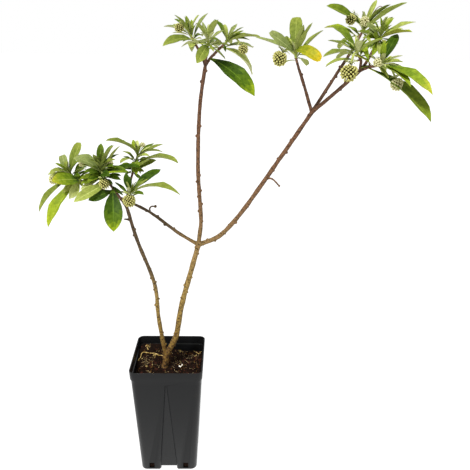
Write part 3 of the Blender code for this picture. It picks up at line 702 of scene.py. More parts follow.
WHORLS = (
    Whorl("foliage_left_back", "bough_left", (-49, 50, 589), leaves(
        (-59, 35, 66, OLIVE, 45), (-35, 45, 50, FRESH, 20, 0, 0, YOUNG),
        (-40, -60, 45, FRESH, 10, 0, 0, YOUNG), (65, 30, 60, OLIVE, 10, 0, 0, YOUNG),
        (65, -60, 50, DARK, 10, 0, 0, YOUNG), (78, 30, 95, OLIVE, 60, -12, 24, FULL, 0.85),
        (-110, 60, 50, LIGHT), (50, 35, 55, FRESH, 15, 0, 34, YOUNG), (170, 65, 60, FRESH, 60),
        (-100, -30, 70, LIME, 20, 10, 36),
    ), leaves(
        (60, 20, 54, OLIVE, 20, 20, 34), (-162, 35, 29, DARK, 20, 30, 8),
        (-76, 20, 26, DEEP, 20, 30, 30), (156, 45, 33, MID, 20, 20, 10, YOUNG),
        (64, 40, 41, LIGHT, 10, 0, 3, YOUNG), (23, 50, 37, FRESH, 20, 0, 4, YOUNG),
        (79, 20, 24, LIGHT, 20, 30, 26), (55, 40, 39, OLIVE, 30, 0, 20, YOUNG),
        (-130, -10, 24, MID, 20, 20, 30), (120, 30, 22, DARK, 20, 30, 34),
        (-70, 20, 22, MID, 20, 20, 24), (-74, 40, 28, DARK, 30, 30, 28),
        (87, 40, 28, OLIVE, 30, 20, 30), (-58, 30, 26, DARK, 20, 20, 16),
        (63, 50, 50, LIGHT, 40, 20, 12, YOUNG), (-12, 40, 32, DARK, 20, 20, 6, YOUNG),
        (73, 60, 24, FRESH, 30, 40, 18),
    ), (Head(30, 25, 21, 9, True),), GREEN),
    Whorl("foliage_left_front", "stem_left", (-47, -55, 548), leaves(
        (-35, -65, 45, DEEP, 20), (60, -50, 75, DEEP, 15), (85, 25, 90, OLIVE, 65, -10, 0, YOUNG),
        (80, 50, 40, DARK, 20),
    ), leaves(
        (43, -30, 35, DARK, 10, 0, 4, YOUNG), (30, 20, 28, FRESH, 10, 0, 3, YOUNG),
        (-8, 5, 34, DEEP, 15, 60, 2, BROAD, 0.9),
    ), (Head(-172, 25, 12, 21),), SHADED),
    Whorl("foliage_left_middle", "stem_left", (-100, -30, 577), leaves(
        (-72, -40, 60, SAGE, 55), (-5, -50, 55, DARK, 20, 0, 0, FULL, 0.8),
        (35, 25, 60, OLIVE, 20, 0, 0, FULL, 0.8), (0, 45, 45, DARK, 30, 0, 0, YOUNG),
        (-116, 30, 63, LIGHT, 30, 40, 25, FULL, 1.05), (-120, -40, 60, DEEP, 30, 40, 30),
        (-108, 25, 44, DEEP, 20, 40, 40, BROAD), (175, 32, 72, HANGING, 40, 0, 36, BROAD, 1.1),
    ), leaves(
        (17, 20, 43, DARK, 15, 0, 2, YOUNG), (22, -20, 49, DARK, 20, 0, 6, FULL, 0.8),
        (35, 10, 59, OLIVE, 15, 0, 8, YOUNG), (110, 60, 26, DEEP, 20, 60, 4, BROAD),
        (-106, 55, 32, MID, 50, 40, 8, BROAD, 0.8), (-76, 30, 24, DARK, 30, 20, 10),
        (-104, 30, 34, MID, 20, 20, 14), (-141, 10, 42, DEEP, 20, 50, 16, BROAD, 0.8),
        (64, 40, 44, DARK, 30, 0, 6), (86, 10, 30, DEEP, 20, 20, 12),
        (-15, 50, 42, MID, 40, 30, 4, YOUNG), (124, 20, 28, DEEP, 20, 30, 30, YOUNG),
        (-72, -20, 46, OLIVE, 35, 20, 3), (77, 60, 46, DEEP, 30, 40, 6),
        (57, 50, 55, DARK, 30, 20, 5, FULL, 0.8), (-26, 55, 26, MID, 20, 40, 4),
        (-91, 55, 30, DEEP, 30, 60, 9), (-118, 30, 43, SILK, 20, 50, 12, FULL, 0.7),
        (24, 40, 44, DARK, 20, 20, 7, YOUNG), (93, 30, 36, DARK, 30, 30, 12),
        (-59, 10, 46, SAGE, 75, 20, 4, BROAD, 0.9), (-66, 50, 36, DARK, 40, 30, 8),
        (-95, 35, 39, MID, 30, 30, 10), (-164, 60, 24, MID, 30, 40, 16),
        (-107, 35, 38, MID, 30, 30, 10, BROAD, 0.8), (105, 50, 24, DARK, 30, 30, 18),
        (-1, 40, 38, DARK, 20, 20, 6, YOUNG), (51, 40, 56, OLIVE, 40, 20, 3, YOUNG),
        (79, 20, 47, DARK, 40, 20, 5),
    ), (Head(145, 45, 28, 17), Head(-70, -10, 29, 11, True), Head(58, -25, 21, 11, True)), SHADED),
    Whorl("foliage_left_outer", "bough_left", (-170, 40, 552), leaves(
        (-35, -50, 50, SAGE, 20, 30, 0, BLUNT), (25, 0, 62, OLIVE, 25, 45, 0, BLUNT),
        (-60, 60, 45, LIGHT, 60), (-75, 50, 60, TURNING, 35, 35, 25, BROAD, 1.25),
        (-140, 0, 88, OLIVE, 35, 0, 0, FULL, 0.85), (-147, 25, 97, LIME, 35, 15, 20),
    ), leaves(
        (-51, 10, 26, DARK, 20, 0, 4, YOUNG), (-160, 56, 46, SILK, 30, 60, 20, BROAD),
        (36, 0, 38, MID, 25, 40, 10), (55, -20, 22, DARK, 20, 20, 14),
        (-135, 40, 36, LIGHT, 30, 60, 16, BROAD, 0.8), (58, 30, 47, DARK, 30, 20, 6, FULL, 0.8),
        (86, 20, 32, MID, 20, 30, 12), (70, 50, 34, DARK, 30, 30, 8),
        (-5, 40, 29, MID, 20, 0, 6, YOUNG), (-63, 30, 38, SAGE, 40, 20, 6, YOUNG),
        (-74, 50, 44, SILK, 40, 30, 6, FULL, 0.8), (-32, 40, 40, MID, 30, 20, 8, YOUNG),
        (38, 30, 48, MID, 30, 20, 4, YOUNG), (136, 20, 20, LIGHT, 20, 40, 16),
    ), (Head(-95, 45, 26, 18, True),), GREEN),
    Whorl("foliage_middle_left", "bough_middle", (42, 45, 785), leaves(
        (-101, 40, 60, OLIVE, 60, 20, 14, BROAD, 0.8), (-77, -40, 60, SAGE, 25, 0, 0, YOUNG, 0.8),
        (-38, 50, 50, MID, 20, 0, 0, YOUNG, 0.8), (-50, -50, 55, DARK, 20, 0, 0, YOUNG, 0.8),
        (-15, -50, 45, MID, 10, 0, 0, YOUNG, 0.8), (5, -55, 38, FRESH, 10, 0, 0, YOUNG, 0.8),
        (42, -38, 55, SAGE, 20, 0, 0, YOUNG, 0.7), (110, 50, 35, LIGHT, 20, 0, 0, YOUNG),
        (170, 60, 45, LIGHT, 40, 0, 0, BROAD),
    ), leaves(
        (-18, 10, 30, DARK, 10, 0, 4, YOUNG, 0.8), (25, 20, 22, MID, 10, 0, 6, YOUNG),
        (-82, -30, 36, SAGE, 20, 0, 5, YOUNG), (-109, 20, 17, OLIVE, 20, 20, 10, YOUNG),
    ), (Head(-60, 42, 22, 15),), SOFT),
    Whorl("foliage_middle_front", "bough_middle", (74, -15, 774), leaves(
        (-35, 55, 50, MID, 20, 0, 0, YOUNG, 0.8), (-20, -45, 42, SAGE, 10, 0, 0, YOUNG, 0.8),
        (26, 50, 48, MID, 20, 0, 0, BLUNT, 0.8), (55, -50, 45, SAGE, 20, 0, 0, YOUNG, 0.8),
        (-150, 48, 46, OLIVE, 60, 20, 8, BROAD), (136, -40, 50, DARK, 20, 0, 0, YOUNG),
    ), leaves(
        (143, 50, 25, OLIVE, 30, 20, 4, YOUNG), (-9, 10, 26, DARK, 10, 0, 5, YOUNG, 0.8),
        (-87, 0, 16, LIGHT, 20, 30, 8, YOUNG),
    ), (), SOFT),
    Whorl("foliage_middle_right", "bough_middle", (104, 40, 775), leaves(
        (-35, -40, 52, DARK, 20, 0, 0, FULL, 0.7), (30, -50, 48, SAGE, 15, 0, 0, YOUNG, 0.8),
        (50, 50, 48, DARK, 20, 0, 0, YOUNG, 0.8), (84, 40, 66, OLIVE, 35, -10, 0, FULL, 0.7),
        (130, -28, 78, SILK, 55, 20, 16, FULL, 1.15),
        (127, 28, 100, HANGING, 45, 25, 42, BROAD, 0.88),
    ), leaves(
        (70, 20, 38, FRESH, 20, 30, 3), (84, 30, 43, MID, 40, 10, 4, YOUNG),
        (57, -20, 38, DARK, 15, 0, 6, YOUNG, 0.8), (169, 45, 17, DARK, 20, 30, 8),
        (-19, 30, 27, OLIVE, 10, 0, 3, YOUNG, 0.8),
    ), (Head(115, 35, 32, 16),), SOFT),
    Whorl("foliage_right_inner", "bough_right_inner", (201, -50, 761), leaves(
        (-71, -30, 68, SAGE, 10, 0, 0, YOUNG, 0.7), (-58, 25, 52, SAGE, 25, 50, 0, BLUNT),
        (5, -33, 58, OLIVE, 15, 0, 0, BLUNT, 1.1), (10, 45, 52, OLIVE, 10, 0, 0, YOUNG),
        (24, 45, 60, MID, 10, 0, 0, YOUNG, 0.8), (56, -33, 66, OLIVE, 15, -20, 0, YOUNG),
        (108, 50, 52, GOLD, 100, 35, 1, BLUNT, 1.1), (-15, -37, 28, DARK, 10, 0, 0, YOUNG),
    ), leaves(
        (-32, 10, 29, MID, 10, 0, 3, YOUNG), (18, 20, 37, OLIVE, 10, 0, 4, YOUNG),
    ), (Head(-110, 30, 27, 22),), SOFT),
    Whorl("foliage_right_front", "bough_right_outer", (285, -75, 764), leaves(
        (-99, 30, 60, OLIVE, 20, -10, 0, FULL, 0.8), (-40, -48, 66, MID, 30),
        (55, 62, 60, FRESH, 20, 0, 0, YOUNG), (-20, 70, 42, LIGHT, 20, 0, 0, FULL, 0.8),
    ), leaves(
        (-57, 20, 32, DARK, 20, 20, 3, YOUNG), (-78, 0, 20, MID, 15, 0, 6, YOUNG),
        (34, 10, 24, FRESH, 15, 20, 4), (121, 30, 18, OLIVE, 20, 20, 8, YOUNG),
        (-5, 10, 27, SAGE, 10, 0, 3, YOUNG),
    ), (Head(-158, 33, 35, 25),), SOFT),
    Whorl("foliage_right_top", "bough_right_middle", (317, 20, 797), leaves(
        (-66, 20, 77, MID, 25, 25), (10, -50, 42, SAGE, 10, 0, 0, YOUNG, 0.7),
        (30, -36, 62, LIGHT, 25, 0, 0, YOUNG, 0.7), (38, 48, 60, DARK, 25, 0, 0, FULL, 0.8),
        (53, 45, 80, FRESH, 20, 0, 0, FULL, 0.8),
    ), leaves(
        (33, 20, 18, FRESH, 20, 40, 3), (54, 0, 42, MID, 15, 10, 5, YOUNG),
        (-38, -20, 36, SAGE, 15, 0, 4, YOUNG), (141, 30, 23, LIGHT, 20, 30, 8),
        (-55, 40, 25, SILK, 20, 20, 4, YOUNG), (16, 20, 28, LIGHT, 20, 20, 3, YOUNG),
    ), (Head(-62, 22, 29, 17), Head(-20, 55, 18, 15, True)), BRIGHT),
    Whorl("foliage_right_back", "bough_right_outer", (327, -45, 785), leaves(
        (-69, 60, 45, FRESH, 20), (40, -42, 48, LIGHT, 15, 0, 0, FULL, 0.8),
        (70, -23, 66, LIGHT, 25, 0, 0, YOUNG, 0.8), (80, 62, 60, LIME, 25, 0, 0, FULL, 0.8),
        (-77, -55, 48, MID, 20), (-160, 50, 42, LIGHT),
    ), leaves(
        (-75, 55, 28, FRESH, 20, 60, 5, BLUNT, 1.3), (-55, 20, 33, SAGE, 15, 40, 3, BLUNT),
        (-67, 30, 26, SAGE, 20, 40, 4, BLUNT), (156, 30, 20, FRESH, 20, 30, 6),
        (-123, 20, 34, DARK, 20, 10, 8, YOUNG), (-40, 40, 34, FRESH, 20, 40, 3, BLUNT, 0.8),
        (7, 30, 32, FRESH, 20, 20, 2, YOUNG), (-10, 10, 28, FRESH, 15, 30, 2),
        (33, 0, 32, FRESH, 15, 20, 3), (64, 10, 35, LIGHT, 20, 10, 6),
        (137, 30, 21, MID, 20, 30, 8), (-130, 30, 20, SAGE, 20, 30, 10),
        (-88, 20, 29, FRESH, 20, 20, 6), (-4, 40, 27, FRESH, 20, 30, 3),
        (175, 30, 19, LIGHT, 20, 30, 8), (-149, 40, 33, FRESH, 30, 30, 8),
        (108, 40, 30, OLIVE, 20, 20, 5, YOUNG),
    ), (), BRIGHT),
    Whorl("foliage_right_outer", "bough_right_outer", (317, -100, 746), leaves(
        (34, -36, 62, DEEP, 10), (122, 44, 88, TURNING, 35, 0, 0, FULL, 0.9),
        (133, 55, 64, FRESH, 30, 0, 0, FULL, 0.8), (131, 35, 122, MID, 30, 10, 26, FULL, 0.9),
        (85, -40, 52, OLIVE, 20, 0, 0, FULL, 0.8),
    ), leaves(
        (1, 10, 32, FRESH, 15, 60, 3), (68, -10, 37, LIGHT, 20, 0, 5),
        (96, 20, 37, SAGE, 30, 20, 8), (-43, 10, 20, SAGE, 15, 20, 6),
        (92, 20, 32, FRESH, 30, 20, 22), (145, 40, 26, OLIVE, 20, 20, 5, YOUNG),
        (71, 20, 27, LIGHT, 20, 20, 3), (101, 0, 50, SAGE, 20, 20, 6, YOUNG),
    ), (Head(140, 26, 33, 18, True), Head(-65, 45, 14, 12, True)), BRIGHT),
)


def heading(tilt: float, lean: float) -> Vector:
    """A direction from its tilt as seen from the front and its lean towards the front."""
    a, b = math.radians(tilt), math.radians(lean)
    return Vector((math.sin(a) * math.cos(b), -math.sin(b), math.cos(a) * math.cos(b)))


def smooth_path(points: Sequence[Vector], every: int = 1,
                before: Vector | None = None) -> list[Vector]:
    """A Catmull-Rom curve through points.

    Args:
        points: The points it passes through.
        every: 1 keeps all of its close points, 6 every sixth.
        before: The point that it seems to come from.

    Returns:
        Points along the curve, close together.
    """
    steps = 24
    ends = [before or 2 * points[0] - points[1], *points, 2 * points[-1] - points[-2]]
    path = []
    for a, b, c, d in zip(ends, ends[1:], ends[2:], ends[3:]):
        for k in range(steps):
            t = k / steps
            path.append(0.5 * (2 * b + (c - a) * t + (2 * a - 5 * b + 4 * c - d) * t**2
                               + (3 * b - a - 3 * c + d) * t**3))
    path.append(points[-1].copy())
    return path[::every]


def eased(path: Sequence[Vector], spread: float = 14 * MM) -> list[Vector]:
    """The path with its bends eased over a spread to either side, its ends kept.

    Args:
        path: The path's points.
        spread: How far its bends are eased.

    Returns:
        The new path.
    """
    whole = length_of(path)
    middles = []
    for k in range(len(path) + 1):
        place = whole * k / len(path)
        reach = min(spread, place, whole - place)
        near = (along(path, place + reach * j / 3) for j in range(-3, 4))
        middles.append(sum(near, Vector()) / 7)
    return middles


def length_of(path: Sequence[Vector]) -> float:
    """The path's length."""
    return sum((b - a).length for a, b in zip(path, path[1:]))


def along(path: Sequence[Vector], distance: float) -> Vector:
    """The point at a distance along the path; it runs on straight past either end.

    Args:
        path: The path's points.
        distance: How far along it the point is.

    Returns:
        The point.
    """
    walked = 0.0
    for a, b in zip(path, path[1:]):
        step = (b - a).length
        if walked + step >= distance:
            return a.lerp(b, (distance - walked) / step)
        walked += step
    return path[-1] + (path[-1] - path[-2]).normalized() * (distance - walked)


@dataclass
class Growth:
    """Every limb's and twig's centre line and taper, worked out as for the solids."""

    trunk_foot: Vector = vector(-9.0, 0.0, 190.3)
    trunk_fork: Vector = vector(-6.0, 0.0, 216.0)
    trunk_lean: Vector = vector(0.1, 0.0, 1.0, 1)
    twig_widths: Pair = (4.6, 3.6)
    trunk_stub: float = 26.0 * MM
    main_stub: float = 14.0 * MM
    short_stub: float = 11.0 * MM
    straight: float = 3.0 * MM  # how much further a limb runs straight
    paths: dict[str, list[Vector]] = field(default_factory=dict)
    widths: dict[str, Pair] = field(default_factory=dict)

    def __post_init__(self) -> None:
        """Grow every path from its parent's tip."""
        tips = {"trunk": (self.trunk_fork, self.trunk_lean)}
        for limb in LIMBS:
            start = tips[limb.parent][0]
            knees = [Vector(knee) * MM for knee in limb.knees]
            path = self.grown(start, knees[0] - start, knees, limb.parent)
            self.paths[limb.name] = eased(path)
            self.widths[limb.name] = (limb.foot_width, limb.tip_width)
            tips[limb.name] = (path[-1], (path[-1] - path[-4]).normalized())
        for whorl in WHORLS:
            start, way = tips[whorl.limb]
            tip = Vector(whorl.tip) * MM
            way = way * 0.5 + (tip - start).normalized()
            self.paths[whorl.name] = self.grown(start, way, [tip], whorl.limb)
            self.widths[whorl.name] = self.twig_widths

    def length(self, name: str) -> float:
        """The length of a limb or a twig."""
        return length_of(self.paths[name])

    def stub(self, parent: str) -> float:
        """How far a fork runs out along each limb that leaves it."""
        return {"trunk": self.trunk_stub, "stem_main": self.main_stub}.get(parent, self.short_stub)

    def grown(self, start: Vector, way: Vector, knees: list[Vector], parent: str) -> list[Vector]:
        """A centre line that leaves its parent's tip straight, then bends through its knees."""
        knee = start + way.normalized() * (self.stub(parent) + self.straight)
        return [start.copy()] + smooth_path([knee, *knees], before=start)

    def radius(self, name: str, distance: float) -> float:
        """The limb's radius at a distance from its foot."""
        foot, tip = self.widths[name]
        share = min(max(distance / self.length(name), 0.0), 1.0)
        return (foot + (tip - foot) * share) / 2 * MM

    def run(self, name: str, start: float, end: float, steps: int,
            swell: Callable[[float, float], float]) -> Run:
        """A stretch of a limb or twig as a tube's run.

        Args:
            name: The limb's or twig's name.
            start: How far from its foot the stretch starts.
            end: How far from its foot the stretch ends.
            steps: How many steps it is drawn in.
            swell: Takes a place and the plain radius there, and gives the radius.

        Returns:
            The run.
        """
        places = [start + (end - start) * k / steps for k in range(steps + 1)]
        points = [along(self.paths[name], place) for place in places]
        return points, [swell(place, self.radius(name, place)) for place in places]


@dataclass(frozen=True)
class ScarTrail:
    """Raised leaf scars that spiral up limbs or twigs."""

    size: Triple
    varied: Pair
    spacing: Pair
    proud: float  # how far a scar's middle stands out of the wood
    sides: tuple[int, int]
    trim: float = 1.0
    opposite: bool = False  # whether some scars, by chance, are straight across from the last

    def lay(self, growth: Growth, stretches: Sequence[tuple[str, float, float]],
            rng: random.Random, finish: Material | None = None) -> list[Piece]:
        """Scars up some stretches of wood.

        Args:
            growth: The plant's centre lines.
            stretches: A limb's or twig's name, and where its scars start and end, from its foot.
            rng: The random numbers.
            finish: The scars' material, if they need their own.

        Returns:
            The scars.
        """
        bpy.ops.mesh.primitive_uv_sphere_add(segments=self.sides[0], ring_count=self.sides[1],
                                             radius=1.0)
        master = bpy.context.object
        master.data.materials.append(finish)
        made = []
        for name, place, end in stretches:
            path, turn = growth.paths[name], rng.uniform(0, 6)
            while place < end:
                centre = along(path, place)
                way = (along(path, place + MM) - centre).normalized()
                turn += math.pi if self.opposite and rng.random() >= 0.5 else GOLDEN
                out = Quaternion(way, turn) @ way.orthogonal().normalized()
                size = Vector(self.size) * MM * rng.uniform(*self.varied)
                centre += out * (self.trim * growth.radius(name, place) + self.proud)
                made.append(duplicate(master, aimed(way, centre, size)))
                place += rng.uniform(*self.spacing)
        discard([master])
        return made


# Pot


@dataclass
class NurseryPot:
    """A tall square pot, drawn in from a cube: stepped rim, pleated sides, slots and channels."""

    finish: MouldedPlastic
    height: float = 221.4 * MM
    foot_half: float = 52.4 * MM
    body_half: float = 64.0 * MM
    corner: float = 11.0 * MM
    wall: float = 1.5 * MM
    edge: float = 0.45 * MM
    rim_height: float = 17.0 * MM
    rim_step: float = 1.5 * MM
    rim_slope: float = 0.4 * MM
    pleat_apex: float = 194.0 * MM
    pleat_depth: float = 3.0 * MM
    pleat_foot: float = 17.5 * MM
    pleat_tip: float = 2.0 * MM
    pleat_side: float = 2.2 * MM
    pleat_dimple: float = 0.6  # the pleat's depth at its apex, as a share of its foot's
    channel: Vector = vector(15.0, 22.0, 6.0)
    channel_wall: float = 1.6 * MM
    slot: Vector = vector(4.75, 6.0, 12.0)
    slot_offset: float = 32.0 * MM
    slot_foot: float = 3.0 * MM

    def build(self) -> Piece:
        """Model and finish the pot.

        Returns:
            The pot.
        """
        bpy.ops.mesh.primitive_cube_add(size=1.0, location=(0, 0, self.height / 2))
        pot = started("nursery_pot", (2 * self.foot_half, 2 * self.foot_half, self.height))
        self.taper(pot)
        self.pleat(pot)
        self.step_rim(pot)
        apply_modifier(pot, "SOLIDIFY", thickness=self.wall, offset=-1.0, use_even_offset=True)
        self.open_channels(pot)
        apply_modifier(pot, "BEVEL", width=self.edge, segments=3, limit_method="ANGLE",
                       angle_limit=math.radians(35))
        return dressed(pot, self.finish.make(), 26)

    def taper(self, pot: Piece) -> None:
        """Widen the top, round the corners and open the mouth.

        Args:
            pot: The pot.
        """
        grow = self.body_half / self.foot_half
        with editing(pot):
            pick(pot, Element.VERT, lambda co, _: co.z > self.height / 2)
            bpy.ops.transform.resize(value=(grow, grow, 1.0))
            pick(pot, Element.EDGE, lambda co, _: 0.2 < co.z / self.height < 0.8)
            bpy.ops.mesh.bevel(offset=self.corner, segments=7, affect="EDGES")
            pick(pot, Element.FACE, lambda co, _: co.z > self.height - NEAR)
            bpy.ops.mesh.delete(type="FACE")

    def cut(self, pot: Piece, place: Vector, normal: Vector, axis: int | None = None) -> None:
        """Cut edges along a plane into the walls.

        Args:
            pot: The pot in edit mode.
            place: A point on the plane.
            normal: The plane's normal.
            axis: If it is given, only the two walls that face this axis are cut, up to the pleat.
        """
        top = 2 * self.height if axis is None else self.pleat_apex

        def chosen(co: Vector, _: int) -> bool:
            """Whether a face is one of those walls, and not the underside."""
            return MM < co.z < top and (axis is None or abs(co[axis]) > self.foot_half * 0.8)

        pick(pot, Element.FACE, chosen)
        bpy.ops.mesh.bisect(plane_co=place, plane_no=normal)

    def pleat(self, pot: Piece) -> None:
        """Press a tall triangular pleat into the middle of each side.

        Args:
            pot: The pot.
        """
        sides = [(axis, 1 - axis, way) for axis in (0, 1) for way in (-1, 1)]
        with editing(pot):
            self.cut(pot, Vector((0, 0, self.pleat_apex)), UP)
            for axis, across, way in sides:
                for inset in (0.0, self.pleat_side):
                    foot, tip = Vector(), Vector((0, 0, self.pleat_apex))
                    foot[across] = way * (self.pleat_foot - inset)
                    tip[across] = way * max(self.pleat_tip - inset * 0.6, 0.6 * MM)
                    line, normal = tip - foot, Vector()
                    normal[across], normal.z = line.z, -line[across]
                    self.cut(pot, foot, normal.normalized(), axis)
            for axis, across, way in sides:
                inner = self.pleat_foot - self.pleat_side + 0.3 * MM
                pick(pot, Element.VERT, lambda co, _: co.z < MM and abs(co[across]) < inner
                     and co[axis] * way > self.foot_half * 0.9)
                push = Vector()
                push[axis] = -way * self.pleat_depth
                bpy.ops.transform.translate(value=push)
                pick(pot, Element.VERT, lambda co, _: abs(co.z - self.pleat_apex) < NEAR
                     and abs(co[across]) < self.pleat_tip * 0.8 and co[axis] * way > 0)
                bpy.ops.transform.translate(value=push * self.pleat_dimple)

    def step_rim(self, pot: Piece) -> None:
        """Stand the rim's band a little proud of the body.

        Args:
            pot: The pot.
        """
        low = self.height - self.rim_height
        grow = (self.body_half + self.rim_step) / self.body_half
        with editing(pot):
            for height in (low - self.rim_slope, low + self.rim_slope):
                self.cut(pot, Vector((0, 0, height)), UP)
            pick(pot, Element.VERT, lambda co, _: co.z > low)
            bpy.ops.transform.resize(value=(grow, grow, 1.0), center_override=(0, 0, low))

    def box(self, low: Vector, high: Vector, side: int) -> Piece:
        """A cutter between two corners, turned to one side of the pot.

        Args:
            low: Its lowest corner.
            high: Its highest corner.
            side: How many quarter turns it is turned by.

        Returns:
            The cutter.
        """
        turn = Quaternion((0, 0, 1), side * math.pi / 2).to_matrix().to_4x4()
        bpy.ops.mesh.primitive_cube_add(size=1.0)
        made = bpy.context.object
        made.matrix_world = turn @ Matrix.LocRotScale((low + high) / 2, None, high - low)
        settle(made)
        return made

    def open_channels(self, pot: Piece) -> None:
        """House and cut the drain channels under the foot, and cut the slots beside them.

        Args:
            pot: The pot.
        """
        half, wall, reach = self.channel.x, self.channel_wall, 3 * MM
        inner = self.foot_half - self.pleat_depth - self.channel.y
        outer = self.foot_half - self.pleat_depth - self.wall / 2
        houses, cutters = [], []
        for side in range(4):
            low = Vector((-half - wall, -outer, 0.3 * MM))
            high = Vector((half + wall, -inner + wall, self.channel.z + wall))
            houses.append(self.box(low, high, side))
            low = Vector((-half, -self.foot_half - reach, -reach))
            cutters.append(self.box(low, Vector((half, -inner, self.channel.z)), side))
            for way in (-1, 1):
                low = Vector((way * self.slot_offset - self.slot.x, -self.foot_half - self.slot.y,
                              self.slot_foot))
                high = low + Vector((2 * self.slot.x, 2 * self.slot.y, self.slot.z))
                cutters.append(self.box(low, high, side))
        for pieces, operation in ((houses, "UNION"), (cutters, "DIFFERENCE")):
            tool = join(pieces, "pot_tool")
            apply_modifier(pot, "BOOLEAN", object=tool, operation=operation, solver="EXACT",
                           use_self=True)
            discard([tool])


# Soil


@dataclass
class PottingMix:
    """Bark compost: an uneven surface with chips, fibres, a surface root and a pale flake on it."""

    level: float = 190.0 * MM
    half: float = 60.2 * MM
    corner: float = 10.0 * MM
    loose: float = 0.9 * MM  # how far the crumbs stand above the level
    trunk_place: float = -9.0 * MM
    trunk_room: float = 9.0 * MM
    wall_room: float = 2.5 * MM
    chips: int = 900
    chip_sizes: tuple[float, ...] = (0.9, 1.2, 1.5, 2.0, 2.6, 3.4)
    chip_shares: tuple[float, ...] = (6, 4, 2, 0.5)  # of dark, red, brown and pale chips
    fibres: int = 90
    layers: tuple[Pair, ...] = ((14.0, 3.0), (4.5, 3.2), (1.8, 1.4))
    # Mounds: each one's middle, height and reach in mm, at the trunk and at the back left.
    mounds: tuple[tuple[float, float, float, float], ...] = (
        (-9, 0, 2.2, 60), (-60, 40, 16, 75), (-22, 60, 8, 50))
    mound_top: float = 1.1  # the width in mm that each mound is lifted by
    # Roots: each one's radius at its foot, and its places with their heights above the soil, in mm.
    roots: tuple[tuple[float, tuple[Triple, ...]], ...] = (
        (0.95, ((-9, 12, 0), (-15, 27, 0.6), (-22, 25, 1.2), (-28, 27, 2.0), (-41, 27, 1.0),
                (-51, 28, 1.4), (-55, 24, 1.6), (-55.6, 16, 0.9), (-58, 10, 1.4), (-59, 5, 2.6))),
        (0.6, ((-27, 27, 1.6), (-29, 24, 0.9), (-29, 19, 1.0), (-32, 12, -0.4))),
        (0.6, ((58, 55, 1.4), (53, 48, 0.9), (48, 53, 1.8), (43, 56, 0.6))),
        (0.4, ((13, 58, 1.2), (18, 55, 1.8), (23, 51, 0.6))),
        (0.8, ((-50, 45, 0.8), (-47, 47, 2.6), (-44, 43, 3.4), (-46, 39, 2.4), (-43, 36, 0.6))),
    )
    root_taper: float = -0.35
    flake_place: Vector = vector(22, -3, 194.2)

    def inside(self, x: float, y: float, margin: float = 0.0) -> bool:
        """Whether a place lies in the pot's rounded-square mouth."""
        flat = self.half - self.corner
        dx, dy = max(abs(x) - flat, 0.0), max(abs(y) - flat, 0.0)
        return math.hypot(dx, dy) <= self.corner - margin

    def above(self, x: float, y: float, lift: float = 0.0) -> Vector:
        """The point above a place on the soil, which is banked up at the back left.

        Args:
            x: The place across.
            y: The place front to back.
            lift: How far above the soil.

        Returns:
            The point.
        """
        height = self.level + self.loose
        for middle_x, middle_y, rise, reach in self.mounds:
            near = max(0.0, 1.0 - math.hypot(x / MM - middle_x, y / MM - middle_y) / reach)
            height += rise * MM * near**2 * (3 - 2 * near)
        return Vector((x, y, height + lift))

    def build(self) -> list[Piece]:
        """Model and finish the soil's pieces."""
        rng = random.Random(SEED)
        damp = Peat("composted_bark", "#0a0502", "#24130a").make()
        frame["nodes"]["soil"].data.materials.clear()
        frame["nodes"]["soil"].data.materials.append(damp)
        return [self.surface(damp), self.litter(rng), self.strands(rng), self.root(), self.flake()]

    def surface(self, finish: Material) -> Piece:
        """The crumbly top of the soil.

        Args:
            finish: Its material.

        Returns:
            The surface.
        """
        bpy.ops.mesh.primitive_grid_add(x_subdivisions=90, y_subdivisions=90, size=2 * self.half,
                                        location=(0, 0, self.level + self.loose))
        top = started("soil_surface")
        with editing(top):
            pick(top, Element.FACE, lambda co, _: not self.inside(co.x, co.y))
            bpy.ops.mesh.delete(type="FACE")
            for middle_x, middle_y, rise, reach in self.mounds:
                pick(top, Element.VERT, lambda co, _: math.hypot(
                    co.x / MM - middle_x, co.y / MM - middle_y) < self.mound_top)
                bpy.ops.transform.translate(value=(0, 0, rise * MM), use_proportional_edit=True,
                                            proportional_edit_falloff="SMOOTH",
                                            proportional_size=reach * MM)
        roughen(top, "crumbs", self.layers, 2, "Z")
        return dressed(top, finish, 50)

    def litter(self, rng: random.Random) -> Piece:
        """Bark chips and crumbs lying on the surface.

        Args:
            rng: The random numbers.

        Returns:
            The litter.
        """
        finishes = [Peat(*look).make() for look in (
            ("bark_chip_dark", "#0f0603", "#1e1008"), ("bark_chip_red", "#2a150e", "#45241a"),
            ("bark_chip_brown", "#33200d", "#5c3f1a"), ("bark_chip_pale", "#806a3a", "#b8a36c"))]
        masters = []
        for k in range(4):
            bpy.ops.mesh.primitive_ico_sphere_add(subdivisions=1, radius=1.0)
            masters.append(bpy.context.object)
            with editing(masters[k]):
                bpy.ops.mesh.select_all(action="SELECT")
                bpy.ops.transform.vertex_random(offset=0.28, seed=SEED + k)
                bpy.ops.transform.resize(value=(1.0, 0.55 + 0.1 * k, 0.3 + 0.06 * k))
        chips = []
        while len(chips) < self.chips:
            x, y = rng.uniform(-self.half, self.half), rng.uniform(-self.half, self.half)
            if (not self.inside(x, y, self.wall_room)
                    or math.hypot(x - self.trunk_place, y) < self.trunk_room):
                continue
            size = rng.choice(self.chip_sizes) * MM * rng.uniform(0.8, 1.2)
            way = Vector((rng.gauss(0, 0.45), rng.gauss(0, 0.45), 1.0)).normalized()
            master = rng.choice(masters)
            lie = aimed(way, self.above(x, y, 0.1 * size), Vector((size,) * 3), rng.uniform(0, 7))
            chips.append(duplicate(master, lie))
            chips[-1].data.materials.append(rng.choices(finishes, self.chip_shares)[0])
        discard(masters)
        made = join(chips, "soil_litter")
        smooth(made, 25)
        return made

